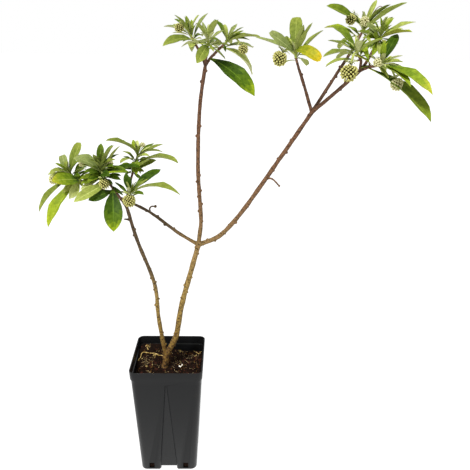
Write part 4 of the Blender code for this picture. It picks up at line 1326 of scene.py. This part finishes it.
    def strands(self, rng: random.Random) -> Piece:
        """Pale fibres and rootlets in the compost.

        Args:
            rng: The random numbers.

        Returns:
            The fibres.
        """
        runs = []
        while len(runs) < self.fibres:
            x, y = rng.uniform(-self.half, self.half), rng.uniform(-self.half, self.half)
            turn, reach = rng.uniform(0, 2 * math.pi), rng.uniform(1.5, 4.5) * MM
            points = []
            for _ in range(4):
                points.append(self.above(x, y, rng.uniform(0.1, 1.9) * MM))
                turn += rng.uniform(-0.9, 0.9)
                x, y = x + reach * math.cos(turn), y + reach * math.sin(turn)
            if all(self.inside(point.x, point.y, MM) for point in points):
                runs.append(tapered(smooth_path(points, 8), rng.uniform(0.12, 0.26), 0.0))
        finish = Peat("straw_fibre", "#857048", "#cdb68a", rough=0.8)
        return dressed(tubes("soil_fibres", runs, 6), finish.make())

    def root(self) -> Piece:
        """A thin pale root that wanders over the soil from the foot of the trunk, and its like.

        Returns:
            The roots.
        """
        runs = []
        for thick, places in self.roots:
            points = [self.above(x * MM, y * MM, lift * MM) for x, y, lift in places]
            runs.append(tapered(smooth_path(points, 6), thick, self.root_taper))
        finish = Peat("peeled_root", "#a68742", "#e2c685", 3.0 * MM, 0.7)
        return dressed(tubes("surface_root", runs, 8), finish.make())

    def flake(self) -> Piece:
        """A bent white flake of perlite.

        Returns:
            The flake.
        """
        bpy.ops.mesh.primitive_grid_add(x_subdivisions=4, y_subdivisions=2, size=1.0)
        made = started("perlite_flake", (11 * MM, 5 * MM, 1.0))
        with editing(made):
            for way, push in ((1, (-1.5, 2.4, 4.0)), (-1, (1.2, 0.6, 2.2))):
                pick(made, Element.VERT, lambda co, _: co.x * way > MM)
                bpy.ops.transform.translate(value=Vector(push) * MM)
            bpy.ops.mesh.select_all(action="SELECT")
            bpy.ops.transform.vertex_random(offset=0.4 * MM, seed=SEED)
        apply_modifier(made, "SOLIDIFY", thickness=1.1 * MM, offset=0.0)
        apply_modifier(made, "SUBSURF", levels=1, render_levels=1)
        made.location = self.flake_place
        settle(made)
        return dressed(made, Peat("perlite", "#e6dfca", "#fffaf0", 1.2 * MM, 0.8).make())


# Wood


@dataclass
class WoodyFrame:
    """Trunk, stems and boughs as one skin of bark with smooth forks, leaf scars and dead snags."""

    growth: Growth
    finish: Bark
    voxel: float = 0.85 * MM
    step: float = 5.0 * MM
    trim: float = 0.94  # the core is slimmer than the solid, as the relief makes up the width
    swelling: float = 0.05
    fork_radius: float = 5.9
    # The trunk's heights over its foot and its radii there, in mm.
    flare: tuple[Pair, ...] = (
        (-3.0, 8.6), (0.0, 7.9), (2.5, 7.1), (7.0, 6.4), (14.0, 6.0))
    layers: tuple[Pair, ...] = ((12.0, 0.8), (1.8, 0.3))
    scars: ScarTrail = ScarTrail((1.7, 1.7, 2.3), (0.7, 1.2), (10.0 * MM, 22.0 * MM), 0.3 * MM,
                                 (10, 6), 0.94, True)
    scars_from: float = 8.0 * MM
    scars_short: float = 4.0 * MM  # how far from a limb's tip they stop

    def build(self) -> Piece:
        """Model and finish the wood.

        Returns:
            The skin of bark.
        """
        rng = random.Random(SEED + 1)
        runs = [self.trunk_run()]
        for limb in LIMBS:
            runs.append(self.limb_run(limb.name, self.growth.length(limb.name), rng))
        for whorl in WHORLS:
            runs.append(self.limb_run(whorl.name, self.growth.stub(whorl.limb), rng))
        snags, knobs = self.snags()
        wood = tubes("wood", runs + snags, 16)
        stretches = [(limb.name, self.scars_from, self.growth.length(limb.name) - self.scars_short)
                     for limb in LIMBS]
        skin = join([wood] + self.scars.lay(self.growth, stretches, rng) + knobs, "bark_frame")
        skin.data.remesh_voxel_size = self.voxel
        select_only(skin)
        bpy.ops.object.voxel_remesh()
        apply_modifier(skin, "SMOOTH", factor=0.5, iterations=2)
        roughen(skin, "bark_relief", self.layers, 3)
        select_only(skin)
        bpy.ops.object.shade_smooth()
        skin.data.materials.clear()
        skin.data.materials.append(self.finish.make())
        return skin

    def trunk_run(self) -> Run:
        """The trunk, flared into the soil."""
        foot = self.growth.trunk_foot
        points = [foot + Vector((0.2 * max(height, 0), 0, height)) * MM for height, _ in self.flare]
        radii = [radius * MM for _, radius in self.flare]
        return points + [self.growth.trunk_fork], radii + [self.fork_radius * MM]

    def limb_run(self, name: str, end: float, rng: random.Random) -> Run:
        """One limb's run up to an end, swelling a little at its nodes."""
        phase = rng.uniform(0, 6)
        return self.growth.run(
            name, 0.0, end, max(3, round(end / self.step)), lambda place, radius:
            self.trim * radius * (1 + self.swelling * math.sin(place / (6 * MM) + phase)))

    def snags(self) -> tuple[list[Run], list[Piece]]:
        """The small dead twigs, and the dried flower stubs that some end in.

        Returns:
            The twigs' runs and the stubs.
        """
        runs, knobs = [], []
        for owner, share, bends, width, knob in SNAGS:
            path = self.growth.paths[owner]
            root = along(path, length_of(path) * share)
            points = [root + Vector(bend) * MM for bend in bends]
            runs.append(tapered(smooth_path([root] + points, 6), 1.15, -0.3, width / 2 * MM))
            if knob:
                bpy.ops.mesh.primitive_uv_sphere_add(segments=10, ring_count=6,
                                                     radius=knob / 2 * MM, location=points[-1])
                knobs.append(bpy.context.object)
        return runs, knobs


# Leaves


@dataclass(frozen=True)
class LeafShape:
    """One kind of leaf, drawn from a grid one long: its outline, fold, veins and waves.

    The blade lies along Z from -0.5 at the stalk to 0.5 at the tip, with its upper side at +Y.
    """

    kind: Kind
    half_share: float
    fold: float
    columns: int = 6
    rows: int = 10
    widest: float = 0.42
    point: float = 0.95
    wave: float = 0.03
    slant: float = 0.75  # how far each side vein runs forward for its length outward
    stalk: float = 0.06  # the stalk's share of the length
    petiole: float = 0.1
    vein: float = 0.003
    thickness: float = 0.006
    rib: float = 0.024

    def share_at(self, v: float) -> float:
        """The blade's width at a share v of its length, as a share of the widest."""
        t = max(0.0, (v - self.stalk) / (1 - self.stalk))
        fall = self.point * (1 - self.widest) / self.widest
        peak = self.widest ** self.point * (1 - self.widest) ** fall
        return max(self.petiole, t ** self.point * max(0.0, 1 - t) ** fall / peak) if v < 1 else 0.0

    def zone(self, column: int, row: int) -> int:
        """The colour step of a face, 0 near the base to 5 at the tip and margin, or the midrib.

        Args:
            column: How far across the face is.
            row: How far from the tip it is.

        Returns:
            The colour step, or RIB.
        """
        middle = (self.columns - 2) / 2
        outward = abs(column - middle) / middle
        v = 1 - (row + 0.5) / (self.rows - 1)
        if outward == 0 or v < 0.08:
            return RIB
        return min(STEPS - 1, int(STEPS * (0.9 * v + 0.22 * (outward - 0.5))))

    def model(self) -> Piece:
        """Model the leaf with an empty slot for each colour step, the midrib and the underside.

        Returns:
            The leaf, flat but for its fold, pleats and waves.
        """
        across = self.columns - 1
        bpy.ops.mesh.primitive_grid_add(x_subdivisions=across, y_subdivisions=self.rows - 1,
                                        size=1.0, rotation=(-math.pi / 2, 0, 0))
        blade = started("blade")
        for _ in range(UNDER + 1):
            blade.data.materials.append(None)
        for index, face in enumerate(blade.data.polygons):
            face.material_index = self.zone(index % across, index // across)
        with editing(blade):
            self.shape_columns(blade)
            self.shape_rows(blade)
            bpy.ops.mesh.select_all(action="SELECT")
            bpy.ops.mesh.remove_doubles(threshold=1e-4)
        apply_modifier(blade, "SOLIDIFY", thickness=self.thickness, offset=-1.0,
                       material_offset=UNDER, material_offset_rim=0)
        smooth(blade, 50)
        return blade

    def shape_columns(self, blade: Piece) -> None:
        """Narrow the midrib and fold the two halves up.

        Args:
            blade: The leaf, in edit mode.
        """
        middle = (self.columns - 1) / 2
        for column in range(self.columns):
            x = 0.5 * abs(column - middle) / middle
            pick(blade, Element.VERT, lambda _, i: i % self.columns == column)
            if abs(column - middle) < 1:
                bpy.ops.transform.resize(value=(self.rib / x, 1, 1), center_override=(0, 0, 0))
            else:
                bpy.ops.transform.translate(value=(0, x * math.tan(math.radians(self.fold)), 0))

    def shape_rows(self, blade: Piece) -> None:
        """Draw each row in to the outline and forward along the veins, with pleats and waves.

        Args:
            blade: The leaf, in edit mode.
        """
        middle = (self.columns - 1) / 2
        for row in range(self.rows):
            v = 1 - row / (self.rows - 1)
            width = 2 * self.half_share * self.share_at(v)
            pleat = self.vein / max(width, 0.05) if row % 2 and 0.12 < v < 0.95 else 0.0
            for column in range(self.columns):
                outward = abs(column - middle) / middle
                if outward * middle < 1:
                    continue
                wavy = outward == 1 and v < 0.95
                edge = self.wave * math.sin(row * 1.9 + column * 0.9) if wavy else 0.0
                forward = self.slant * outward * width / 2
                pick(blade, Element.VERT, lambda _, i: i == row * self.columns + column)
                bpy.ops.transform.translate(value=(0, pleat + edge, forward))
            pick(blade, Element.VERT, lambda _, i: i // self.columns == row)
            bpy.ops.transform.resize(value=(width, width, 1), center_override=(0, 0, 0))


SHAPES = (
    LeafShape(FULL, 0.132, 22, widest=0.5, point=1.05),
    LeafShape(FULL, 0.128, 28, widest=0.47, point=1.0, wave=0.05),
    LeafShape(BROAD, 0.18, 14, widest=0.44, point=0.85),
    LeafShape(BLUNT, 0.14, 20, widest=0.58),
    LeafShape(YOUNG, 0.082, 34, columns=4, rows=8, widest=0.5, point=1.0),
    LeafShape(YOUNG, 0.092, 26, columns=4, rows=8, widest=0.46, wave=0.08),
    LeafShape(SCALE, 0.13, 24, columns=4, rows=5, vein=0.0, thickness=0.02, rib=0.04),
)


@dataclass
class Foliage:
    """All the leaves: the named ones, the solids' spare ones and finer ones in the room left."""

    growth: Growth
    spare_tries: int = 90
    spare_lengths: Pair = (52, 82)
    spare_droops: Pair = (25, 60)
    spare_drop: float = 20 * MM
    spare_slim: float = 0.78
    spare_share: float = 0.8  # of the solid's length, which stands for a leaf and its twig
    spur: float = 7 * MM
    sunk: float = 2 * MM  # how far a spare leaf's stalk runs down its spur
    match: float = 0.3 * MM  # how near the solid has to come to a spare leaf's tip
    leaf_rise: float = 1.8  # how much lower on the twig each named leaf stands, in mm
    fill: int = 5
    fill_tries: int = 120
    fill_lengths: Pair = (28, 48)
    fill_droops: Pair = (15, 55)
    fill_slim: float = 0.9
    crowding: float = math.radians(30)  # a filling leaf keeps this far from the others
    tuft: int = 7
    tuft_spread: Pair = (14, 42)  # the first leaf's, and how much more the last's
    tuft_length: Pair = (15, 20)
    tuft_slim: float = 0.8
    twist: float = 16.0
    roll: float = 14.0  # how far a leaf may be turned about its length either way, in degrees
    skins: dict[tuple[Tint, int], Material] = field(default_factory=dict)
    masters: dict[Kind, list[Piece]] = field(default_factory=dict)
    spare: dict[str, list[tuple[Vector, Vector, float, float]]] = field(default_factory=dict)

    def __post_init__(self) -> None:
        """Make the masters, and find which spare leaves the solids have."""
        for shape in SHAPES:
            self.masters.setdefault(shape.kind, []).append(shape.model())
        rng = random.Random(SEED)
        for whorl in WHORLS:
            self.spare[whorl.name] = self.spare_leaves(whorl, rng)

    def spare_leaves(self, whorl: Whorl,
                     rng: random.Random) -> list[tuple[Vector, Vector, float, float]]:
        """The solids' rule for spare leaves, kept where the solid has one.

        Args:
            whorl: The head of leaves.
            rng: The solids' run of random numbers.

        Returns:
            For each leaf its spur's root, its direction, its length and its droop.
        """
        mesh = frame["nodes"][whorl.name].data
        tree = KDTree(len(mesh.vertices))
        for index, vert in enumerate(mesh.vertices):
            tree.insert(vert.co, index)
        tree.balance()
        path = self.growth.paths[whorl.name]
        whole = length_of(path)
        lowest = min(self.spare_drop, whole - self.growth.stub(whorl.limb) - 5 * MM)
        turn = rng.uniform(0, 2 * math.pi)
        kept = []
        for _ in range(self.spare_tries):
            turn += GOLDEN
            way = Vector((0.75 * math.cos(turn), math.sin(turn), rng.uniform(-0.35, 0.75)))
            way.normalize()
            length = rng.uniform(*self.spare_lengths) * MM
            droop = rng.uniform(*self.spare_droops)
            root = along(path, whole - rng.uniform(4 * MM, lowest))
            tip = root + way * (self.spur - self.sunk + length)
            if tree.find(tip)[2] < self.match:
                kept.append((root, way, length, droop))
        return kept

    def skin(self, tint: Tint, zone: int) -> Material:
        """The material of one colour step of a tint, made when it is first asked for."""
        if (tint, zone) not in self.skins:
            self.skins[tint, zone] = tint.skin(zone).make()
        return self.skins[tint, zone]

    def place(self, root: Vector, chord: Vector, length: float, rng: random.Random, droop: float,
              kind: Kind, tint: Tint, slim: float = 1.0, turn: float = 0.0) -> Piece:
        """A copy of a leaf, bent and twisted, from its root along its chord.

        Args:
            root: Where its stalk starts.
            chord: The direction of its tip.
            length: How far away its tip is.
            rng: The run of random numbers.
            droop: How far it bends over, in degrees.
            kind: Its proportions.
            tint: Its colours.
            slim: Its width as a share of its kind's.
            turn: How far its upper side is turned to the front, in degrees.

        Returns:
            The leaf, with its bend and twist still modifiers.
        """
        up = Vector((0.0, -0.2, 1.0))
        normal = (up - up.dot(chord) * chord).normalized()
        roll = math.copysign(turn, chord.x * turn) + rng.uniform(-self.roll, self.roll)
        normal = Quaternion(chord, math.radians(roll)) @ normal
        bend = math.radians(max(droop, 2))
        stretch = 2 * math.sin(bend / 2) / bend
        radius = length / (2 * math.sin(bend / 2))
        middle = root + chord * length / 2 + normal * radius * (1 - math.cos(bend / 2))
        matrix = axes_matrix(normal.cross(chord), normal, chord, middle, length / stretch)
        master = rng.choice(self.masters[kind])
        leaf = duplicate(master, matrix @ Matrix.Diagonal((slim, 1, 1, 1)))
        for zone in range(UNDER + 1):
            leaf.data.materials[zone] = self.skin(tint, zone)
        twist = math.radians(rng.uniform(-self.twist, self.twist))
        for method, axis, angle in (("TWIST", "Z", twist), ("BEND", "X", -bend)):
            deform = leaf.modifiers.new(method.title(), "SIMPLE_DEFORM")
            deform.deform_method, deform.deform_axis, deform.angle = method, axis, angle
        return leaf

    def named(self, whorl: Whorl, rng: random.Random) -> list[Piece]:
        """The leaves that give the head its outline, and the finer ones among them.

        Args:
            whorl: The head of leaves.
            rng: The random numbers.

        Returns:
            The leaves.
        """
        path = self.growth.paths[whorl.name]
        whole = length_of(path)
        made = []
        for rank, leaf in enumerate(whorl.leaves + whorl.finer):
            root = along(path, whole - leaf.drop * MM)
            chord, length = heading(leaf.tilt, leaf.lean), leaf.length * MM
            if rank < len(whorl.leaves) and not leaf.drop:
                root = along(path, whole - (1 + self.leaf_rise * rank) * MM)
                reach = path[-1] + chord * length - root
                length, chord = reach.length, reach.normalized()
            made.append(self.place(root, chord, length, rng, leaf.droop, leaf.kind, leaf.tint,
                                   leaf.slim, leaf.turn))
        return made

    def filling(self, whorl: Whorl, taken: list[Vector], rng: random.Random) -> list[Piece]:
        """Smaller leaves by the same rule, carried into the room between the others.

        Args:
            whorl: The head of leaves.
            taken: The ways that the other leaves point, to which these are added.
            rng: The run of random numbers.

        Returns:
            The leaves.
        """
        path = self.growth.paths[whorl.name]
        whole = length_of(path)
        lowest = min(self.spare_drop, whole - self.growth.stub(whorl.limb) - 3 * MM)
        turn = rng.uniform(0, 2 * math.pi)
        made = []
        for _ in range(self.fill_tries):
            turn += GOLDEN
            way = Vector((math.cos(turn), math.sin(turn), rng.uniform(-0.3, 0.6))).normalized()
            crowded = any(way.dot(other) > math.cos(self.crowding) for other in taken)
            if len(made) == self.fill or crowded or way.y < 0.3:
                continue
            root = along(path, whole - rng.uniform(1 * MM, lowest))
            length = rng.uniform(*self.fill_lengths) * MM
            made.append(self.place(root, way, length, rng, rng.uniform(*self.fill_droops),
                                   rng.choice((FULL, YOUNG)), rng.choice(whorl.mood),
                                   self.fill_slim))
            taken.append(way)
        return made

    def tuft_leaves(self, whorl: Whorl, rng: random.Random) -> list[Piece]:
        """The silky young leaves that stand in the middle of the head.

        Args:
            whorl: The head of leaves.
            rng: The random numbers.

        Returns:
            The leaves.
        """
        path = self.growth.paths[whorl.name]
        axis = ((path[-1] - path[-6]).normalized() + UP * 0.6).normalized()
        across = axis.orthogonal().normalized()
        turn = rng.uniform(0, 6)
        made = []
        for k in range(self.tuft):
            turn += GOLDEN
            spread, length = (first + more * k / self.tuft
                              for first, more in (self.tuft_spread, self.tuft_length))
            spread = math.radians(spread)
            way = Quaternion(axis, turn) @ (axis * math.cos(spread) + across * math.sin(spread))
            length *= rng.uniform(0.8, 1.2) * MM
            root = path[-1] - axis * (0.5 + 0.5 * k) * MM
            tint = rng.choice((whorl.mood[-2], whorl.mood[-1], LIGHT, SILK))
            made.append(self.place(root, way, length, rng, rng.uniform(5, 40),
                                   rng.choice((YOUNG, BLUNT)), tint, self.tuft_slim))
        return made

    def build(self, whorl: Whorl) -> Piece:
        """Every leaf of one head, joined into one piece.

        Args:
            whorl: The head of leaves.

        Returns:
            The head of leaves, finished.
        """
        rng = random.Random(f"{SEED} {whorl.name}")
        leaves = self.named(whorl, rng)
        taken = [heading(leaf.tilt, leaf.lean) for leaf in whorl.leaves]
        for root, way, length, droop in self.spare[whorl.name]:
            start = root + way * (self.spur - self.sunk)
            leaves.append(self.place(start, way, length * self.spare_share, rng, droop,
                                     rng.choice((FULL, BLUNT)), rng.choice(whorl.mood),
                                     self.spare_slim))
            taken.append(way)
        leaves += self.filling(whorl, taken, rng) + self.tuft_leaves(whorl, rng)
        select_only(*leaves)
        bpy.ops.object.convert(target="MESH")
        return join(leaves, whorl.name.replace("foliage", "leaves"))


# Twigs


@dataclass
class Twigs:
    """The young wood that carries the heads of leaves, with leaf scars, spurs and green tips."""

    growth: Growth
    foliage: Foliage
    step: float = 2.5 * MM
    overlap: float = 2.0 * MM
    green_tip: float = 9.0 * MM
    green_overlap: float = 0.5 * MM
    knotty: Pair = (0.95, 1.06)
    spur_radii: tuple[float, ...] = (1.5 * MM, 1.3 * MM, 1.1 * MM)
    scars: ScarTrail = ScarTrail((0.9, 0.9, 1.3), (0.8, 1.2), (5.0 * MM, 9.0 * MM), -0.15 * MM,
                                 (8, 5))
    bark: Bark = Bark("young_bark", (0.0, 1.0), (
        (0.3, "#46322a"), (0.6, "#6b4a38"), (0.85, "#846048")), aged=0.0, fleck=3.0 * MM)
    dry_whorl: str = "foliage_right_top"
    dry_stalk: tuple[Triple, ...] = (
        (0, 0, -6), (3, 0, 6), (8, -2, 16), (14, -3, 26), (19, -4, 31), (23, -4, 31), (24, -4, 28))

    def build(self) -> Piece:
        """Model and finish all the twigs as one piece.

        Returns:
            The twigs.
        """
        rng = random.Random(SEED + 2)
        wood_runs, green_runs, stretches = [], [], []
        for whorl in WHORLS:
            whole, stub = self.growth.length(whorl.name), self.growth.stub(whorl.limb)
            green = whole - self.green_tip
            stretches.append((whorl.name, stub, green))
            wood_runs.append(self.run(whorl.name, stub - self.overlap, green, rng))
            green_runs.append(self.run(whorl.name, green - self.green_overlap, whole, rng))
            for root, way, _, _ in self.foliage.spare[whorl.name]:
                tip = root + way * self.foliage.spur
                middle = root.lerp(tip, 0.5) + UP * 0.3 * MM
                wood_runs.append(([root, middle, tip], list(self.spur_radii)))
        tip = Vector(next(whorl.tip for whorl in WHORLS if whorl.name == self.dry_whorl)) * MM
        stalk = smooth_path([tip + Vector(bend) * MM for bend in self.dry_stalk], 6)
        wood_runs.append(tapered(stalk, 0.75, -0.3))
        wood, green = tubes("twig_wood", wood_runs, 10), tubes("twig_green", green_runs, 10)
        wood.data.materials.append(self.bark.make())
        green.data.materials.append(self.foliage.skin(LIGHT, 2))
        scars = self.scars.lay(self.growth, stretches, rng, wood.data.materials[0])
        twigs = join([wood, green] + scars, "twigs")
        smooth(twigs, 50)
        return twigs

    def run(self, name: str, start: float, end: float, rng: random.Random) -> Run:
        """One stretch of a twig, a little knotty but for its start."""
        steps = max(2, round((end - start) / self.step))
        points, radii = self.growth.run(name, start, end, steps,
                                        lambda _, radius: radius * rng.uniform(*self.knotty))
        return points, [self.growth.radius(name, start), *radii[1:]]


# Flower-bud heads


@dataclass
class FlowerHeads:
    """Nodding domes of packed silky flower tubes on stout stalks, ruffed with small bracts."""

    growth: Growth
    foliage: Foliage
    sizes: tuple[tuple[float, int], ...] = ((12.5, 36), (18.5, 64), (99.0, 100))
    core_share: float = 0.66
    root_share: float = 0.42
    knob: float = 0.8  # how much of its room a floret fills
    packed: float = 0.98
    floret_height: float = 1.8
    lobes_from: float = 1.32
    ruff: int = 10
    stalk_drop: float = 5.0 * MM
    finishes: dict[str, Material] = field(default_factory=dict)
    masters: dict[tuple[int, bool], Piece] = field(default_factory=dict)

    def __post_init__(self) -> None:
        """Make the finishes, then three sizes of head, open and young, each one across."""
        for finish in (
                LeafSkin("bud_silk", "#a9a654", "#d0cc84", 0.65, 0.1, 1.6 * MM),
                # bud_tube_and_shade is darker partly as the tubes' own colour and partly as painted
                # shade for the gaps between florets; bud_shadow is painted shade for the dark heart
                # of an open head.
                LeafSkin("bud_tube_and_shade", "#4a4112", "#6b5f20", 0.7, 0.0, 1.6 * MM),
                Peat("bud_shadow", "#1c1106", "#2e1d0c", 1.5 * MM),
                LeafSkin("bud_down", "#b9b878", "#e6e2b4", 0.7, 0.15, 1.6 * MM)):
            self.finishes[finish.name] = finish.make()
        for _, count in self.sizes:
            for young in (False, True):
                self.masters[count, young] = self.head(count, young)

    def floret(self, young: bool) -> Piece:
        """One closed flower tube, one across and 1.8 tall, with its four lobes folded over.

        Args:
            young: Whether it is still closed in pale silk.

        Returns:
            The flower tube.
        """
        bpy.ops.mesh.primitive_cylinder_add(vertices=8, radius=0.3, depth=1.0,
                                            location=(0, 0, 0.5))
        tube = started("floret")
        with editing(tube):
            top = 0.99
            for rise, grow in ((0.3, 1.6), (0.3, 0.86), (0.2, 0.5)):
                pick(tube, Element.FACE, lambda co, _: co.z > top)
                bpy.ops.mesh.extrude_region_move(TRANSFORM_OT_translate={"value": (0, 0, rise)})
                bpy.ops.transform.resize(value=(grow, grow, 1.0))
                top += rise
            pick(tube, Element.VERT, lambda co, _: co.z > 1.2 and co.xy.length > 0.1
                 and round(math.atan2(co.y, co.x) * 4 / math.pi) % 2 == 1)
            bpy.ops.transform.resize(value=(0.8, 0.8, 1.0), center_override=(0, 0, 1.5))
        # On open florets the lower tube's darker colour is partly its own and partly painted shade
        # for the gaps between florets; the lobes are silk.
        for finish in ("bud_silk", "bud_down") if young else ("bud_tube_and_shade", "bud_silk"):
            tube.data.materials.append(self.finishes[finish])
        for face in tube.data.polygons:
            face.material_index = int(face.center.z > self.lobes_from)
        return tube

    def head(self, count: int, young: bool) -> Piece:
        """A dome of florets round a dark core of painted shade, one across, hanging from its stalk
        at +Z.

        Args:
            count: How many florets a whole ball of them would have.
            young: Whether it is still closed in pale silk.

        Returns:
            The head.
        """
        bpy.ops.mesh.primitive_uv_sphere_add(segments=16, ring_count=10,
                                             radius=0.5 * self.core_share)
        pieces = [bpy.context.object]
        # The core is painted shade: a dark sheet deep in the head, bud_shadow on open heads and the
        # darker tube colour on young ones.
        core_painted_shade = self.finishes["bud_tube_and_shade" if young else "bud_shadow"]
        pieces[0].data.materials.append(core_painted_shade)
        floret = self.floret(young)
        width = math.sqrt(math.pi / count) * (self.packed if young else self.knob)
        root = 0.5 * self.root_share
        for k in range(count):
            z = 1 - (2 * k + 1) / count
            if z > 0.8:
                continue
            ring = math.sqrt(1 - z * z)
            out = Vector((ring * math.cos(k * GOLDEN), ring * math.sin(k * GOLDEN), z))
            reach = 0.5 * (1.0 + 0.16 * max(0.0, -z) ** 2 - 0.24 * max(0.0, z))
            reach *= 1.0 + 0.06 * math.sin(5.3 * k)
            size = Vector((width, width, (reach - root) / self.floret_height))
            lean = out + 0.05 * Vector((math.sin(3 * k), math.cos(5 * k), math.sin(7 * k)))
            pieces.append(duplicate(floret, aimed(lean.normalized(), out * root, size, k)))
        discard([floret])
        master = join(pieces, "head_master")
        smooth(master)
        return master

    def build(self, name: str, whorls: Sequence[Whorl]) -> Piece:
        """Every head of one part of the plant with its stalk and bracts, joined.

        Args:
            name: The piece's name.
            whorls: The heads of leaves they hang among.

        Returns:
            The flower-bud heads.
        """
        rng = random.Random(f"{SEED} {name}")
        pieces, runs = [], []
        for whorl in whorls:
            path = self.growth.paths[whorl.name]
            root = along(path, self.growth.length(whorl.name) - self.stalk_drop)
            for head in whorl.heads:
                centre = path[-1] + heading(head.tilt, head.lean) * head.reach * MM
                middle = root.lerp(centre, 0.5) + Vector((0, 0, head.reach * 0.35 * MM))
                axis = ((middle - centre).normalized() + UP * 0.8).normalized()
                crown = centre + axis * head.width * 0.4 * MM
                thick = max(1.1, head.width * 0.06) * MM
                runs.append(tapered(smooth_path([root, middle, crown], 6), 0.85, 0.5, thick))
                count = next(count for most, count in self.sizes if head.width <= most)
                size = Vector((1.0, 1.0, 1.04)) * head.width * MM
                pieces.append(duplicate(self.masters[count, head.young],
                                        aimed(axis, centre, size, rng.uniform(0, 6))))
                pieces += self.bracts(crown, axis, head.width * MM, rng)
        stalks = tubes("stalks", runs, 10)
        stalks.data.materials.append(self.foliage.skin(SILK, 3))
        select_only(*pieces)
        bpy.ops.object.convert(target="MESH")
        made = join(pieces + [stalks], name)
        smooth(made)
        return made

    def bracts(self, crown: Vector, axis: Vector, width: float, rng: random.Random) -> list[Piece]:
        """The ruff of small pale bracts where the stalk meets the head.

        Args:
            crown: Where the stalk meets the head.
            axis: The way the stalk leaves it.
            width: The head's width.
            rng: The run of random numbers.

        Returns:
            The bracts.
        """
        across = axis.orthogonal().normalized()
        made = []
        for k in range(self.ruff):
            turn = Quaternion(axis, k * GOLDEN)
            way = turn @ (across + axis * rng.uniform(0.05, 0.6)).normalized()
            root = crown + turn @ across * width * 0.06
            length = width * rng.uniform(0.3, 0.48)
            droop = rng.uniform(60, 110)
            made.append(self.foliage.place(root, way, length, rng, droop, SCALE, SILK))
        return made


# Studio


@dataclass
class Studio:
    """A pale floor, soft even light and the camera."""

    focal: float = 41.49
    place: Vector = vector(0.0988, -0.8828, 0.7724, 1)
    yaw: float = 1.37
    pitch: float = 19.57
    roll: float = 1.0
    ambient: float = 0.40
    floor_glow: float = 1.0
    # Lamps: each one's name, its turn in degrees, its strength and its width in degrees.
    lamps: tuple[tuple[str, Triple, float, float], ...] = (
        ("key", (36, -20, 0), 3.3, 12), ("fill", (50, 50, 0), 0.35, 60))

    def build(self) -> None:
        """Set up floor, world, a key from the upper left front, a weak fill and the camera."""
        scene = bpy.context.scene
        scene.view_settings.view_transform = "Standard"
        self.floor()
        self.world(scene)
        for name, turn, strength, width in self.lamps:
            bpy.ops.object.light_add(type="SUN", rotation=[math.radians(a) for a in turn])
            lamp = bpy.context.object
            lamp.name, lamp.data.energy, lamp.data.angle = name, strength, math.radians(width)
        self.camera(scene)

    def floor(self) -> None:
        """A wide sheet of white acrylic, lit from below so that shadows on it stay faint."""
        bpy.ops.mesh.primitive_plane_add(size=60.0, location=(0, 0, -0.0002))
        ground = bpy.context.object
        ground.name = ground.data.name = "studio_floor"
        made = bpy.data.materials.new("lit_white_acrylic")
        made.use_nodes = True
        for name, value in {"Base Color": srgb("#6a6a6a"), "Roughness": 0.9,
                            "Specular IOR Level": 0.1, "Emission Color": (1, 1, 1, 1),
                            "Emission Strength": self.floor_glow}.items():
            made.node_tree.nodes["Principled BSDF"].inputs[name].default_value = value
        ground.data.materials.append(made)

    def world(self, scene: bpy.types.Scene) -> None:
        """A white backdrop, seen and mirrored in full, that gives only a part of the soft light.

        Args:
            scene: The scene.
        """
        world = bpy.data.worlds.new("soft_white_room")
        world.use_nodes = True
        tree = world.node_tree
        backdrop = tree.nodes["Background"]
        backdrop.inputs["Color"].default_value = (1, 1, 1, 1)
        rays = add_node(tree, "LightPath")
        seen = add_node(tree, "Math", {"operation": "ADD"},
                        {0: rays["Is Camera Ray"], 1: rays["Is Glossy Ray"]})
        strength = add_node(tree, "MapRange", {"To Min": self.ambient, "To Max": 1.0},
                            {"Value": seen["Value"]})
        tree.links.new(strength["Result"], backdrop.inputs["Strength"])
        scene.world = world

    def camera(self, scene: bpy.types.Scene) -> None:
        """The camera at the plant's viewing angle.

        Args:
            scene: The scene.
        """
        yaw, pitch, roll = (math.radians(a) for a in (self.yaw, self.pitch, self.roll))
        level = math.cos(pitch)
        ahead = Vector((math.sin(yaw) * level, math.cos(yaw) * level, -math.sin(pitch)))
        right = Vector((math.cos(yaw), -math.sin(yaw), 0))
        above = right.cross(ahead)
        across = right * math.cos(roll) + above * math.sin(roll)
        upright = above * math.cos(roll) - right * math.sin(roll)
        bpy.ops.object.camera_add()
        camera = bpy.context.object
        camera.data.lens = self.focal
        camera.data.sensor_width = 36.0
        camera.data.clip_start = 0.05
        camera.matrix_world = axes_matrix(across, upright, -ahead, self.place)
        scene.camera = camera


def main() -> None:
    """Build and dress every sub-assembly in order."""
    logging.basicConfig(level=logging.INFO, format="%(name)s %(message)s")
    Studio().build()
    growth = Growth()
    hand_over(NurseryPot(MouldedPlastic()).build(), "pot_plastic", "pot")
    for piece in PottingMix().build():
        hand_over(piece, "soil")
    hand_over(WoodyFrame(growth, Bark()).build(), "bark", "trunk", *(limb.name for limb in LIMBS))
    foliage = Foliage(growth)
    hand_over(Twigs(growth, foliage).build(), "bark")
    for whorl in WHORLS:
        hand_over(foliage.build(whorl), "foliage", whorl.name)
    heads = FlowerHeads(growth, foliage)
    for part in ("left", "middle", "right"):
        owners = [whorl for whorl in WHORLS if f"foliage_{part}" in whorl.name and whorl.heads]
        hand_over(heads.build(f"flower_buds_{part}", owners), "buds")
    discard([master for masters in foliage.masters.values() for master in masters])
    discard(list(heads.masters.values()))


if __name__ == "__main__":
    main()
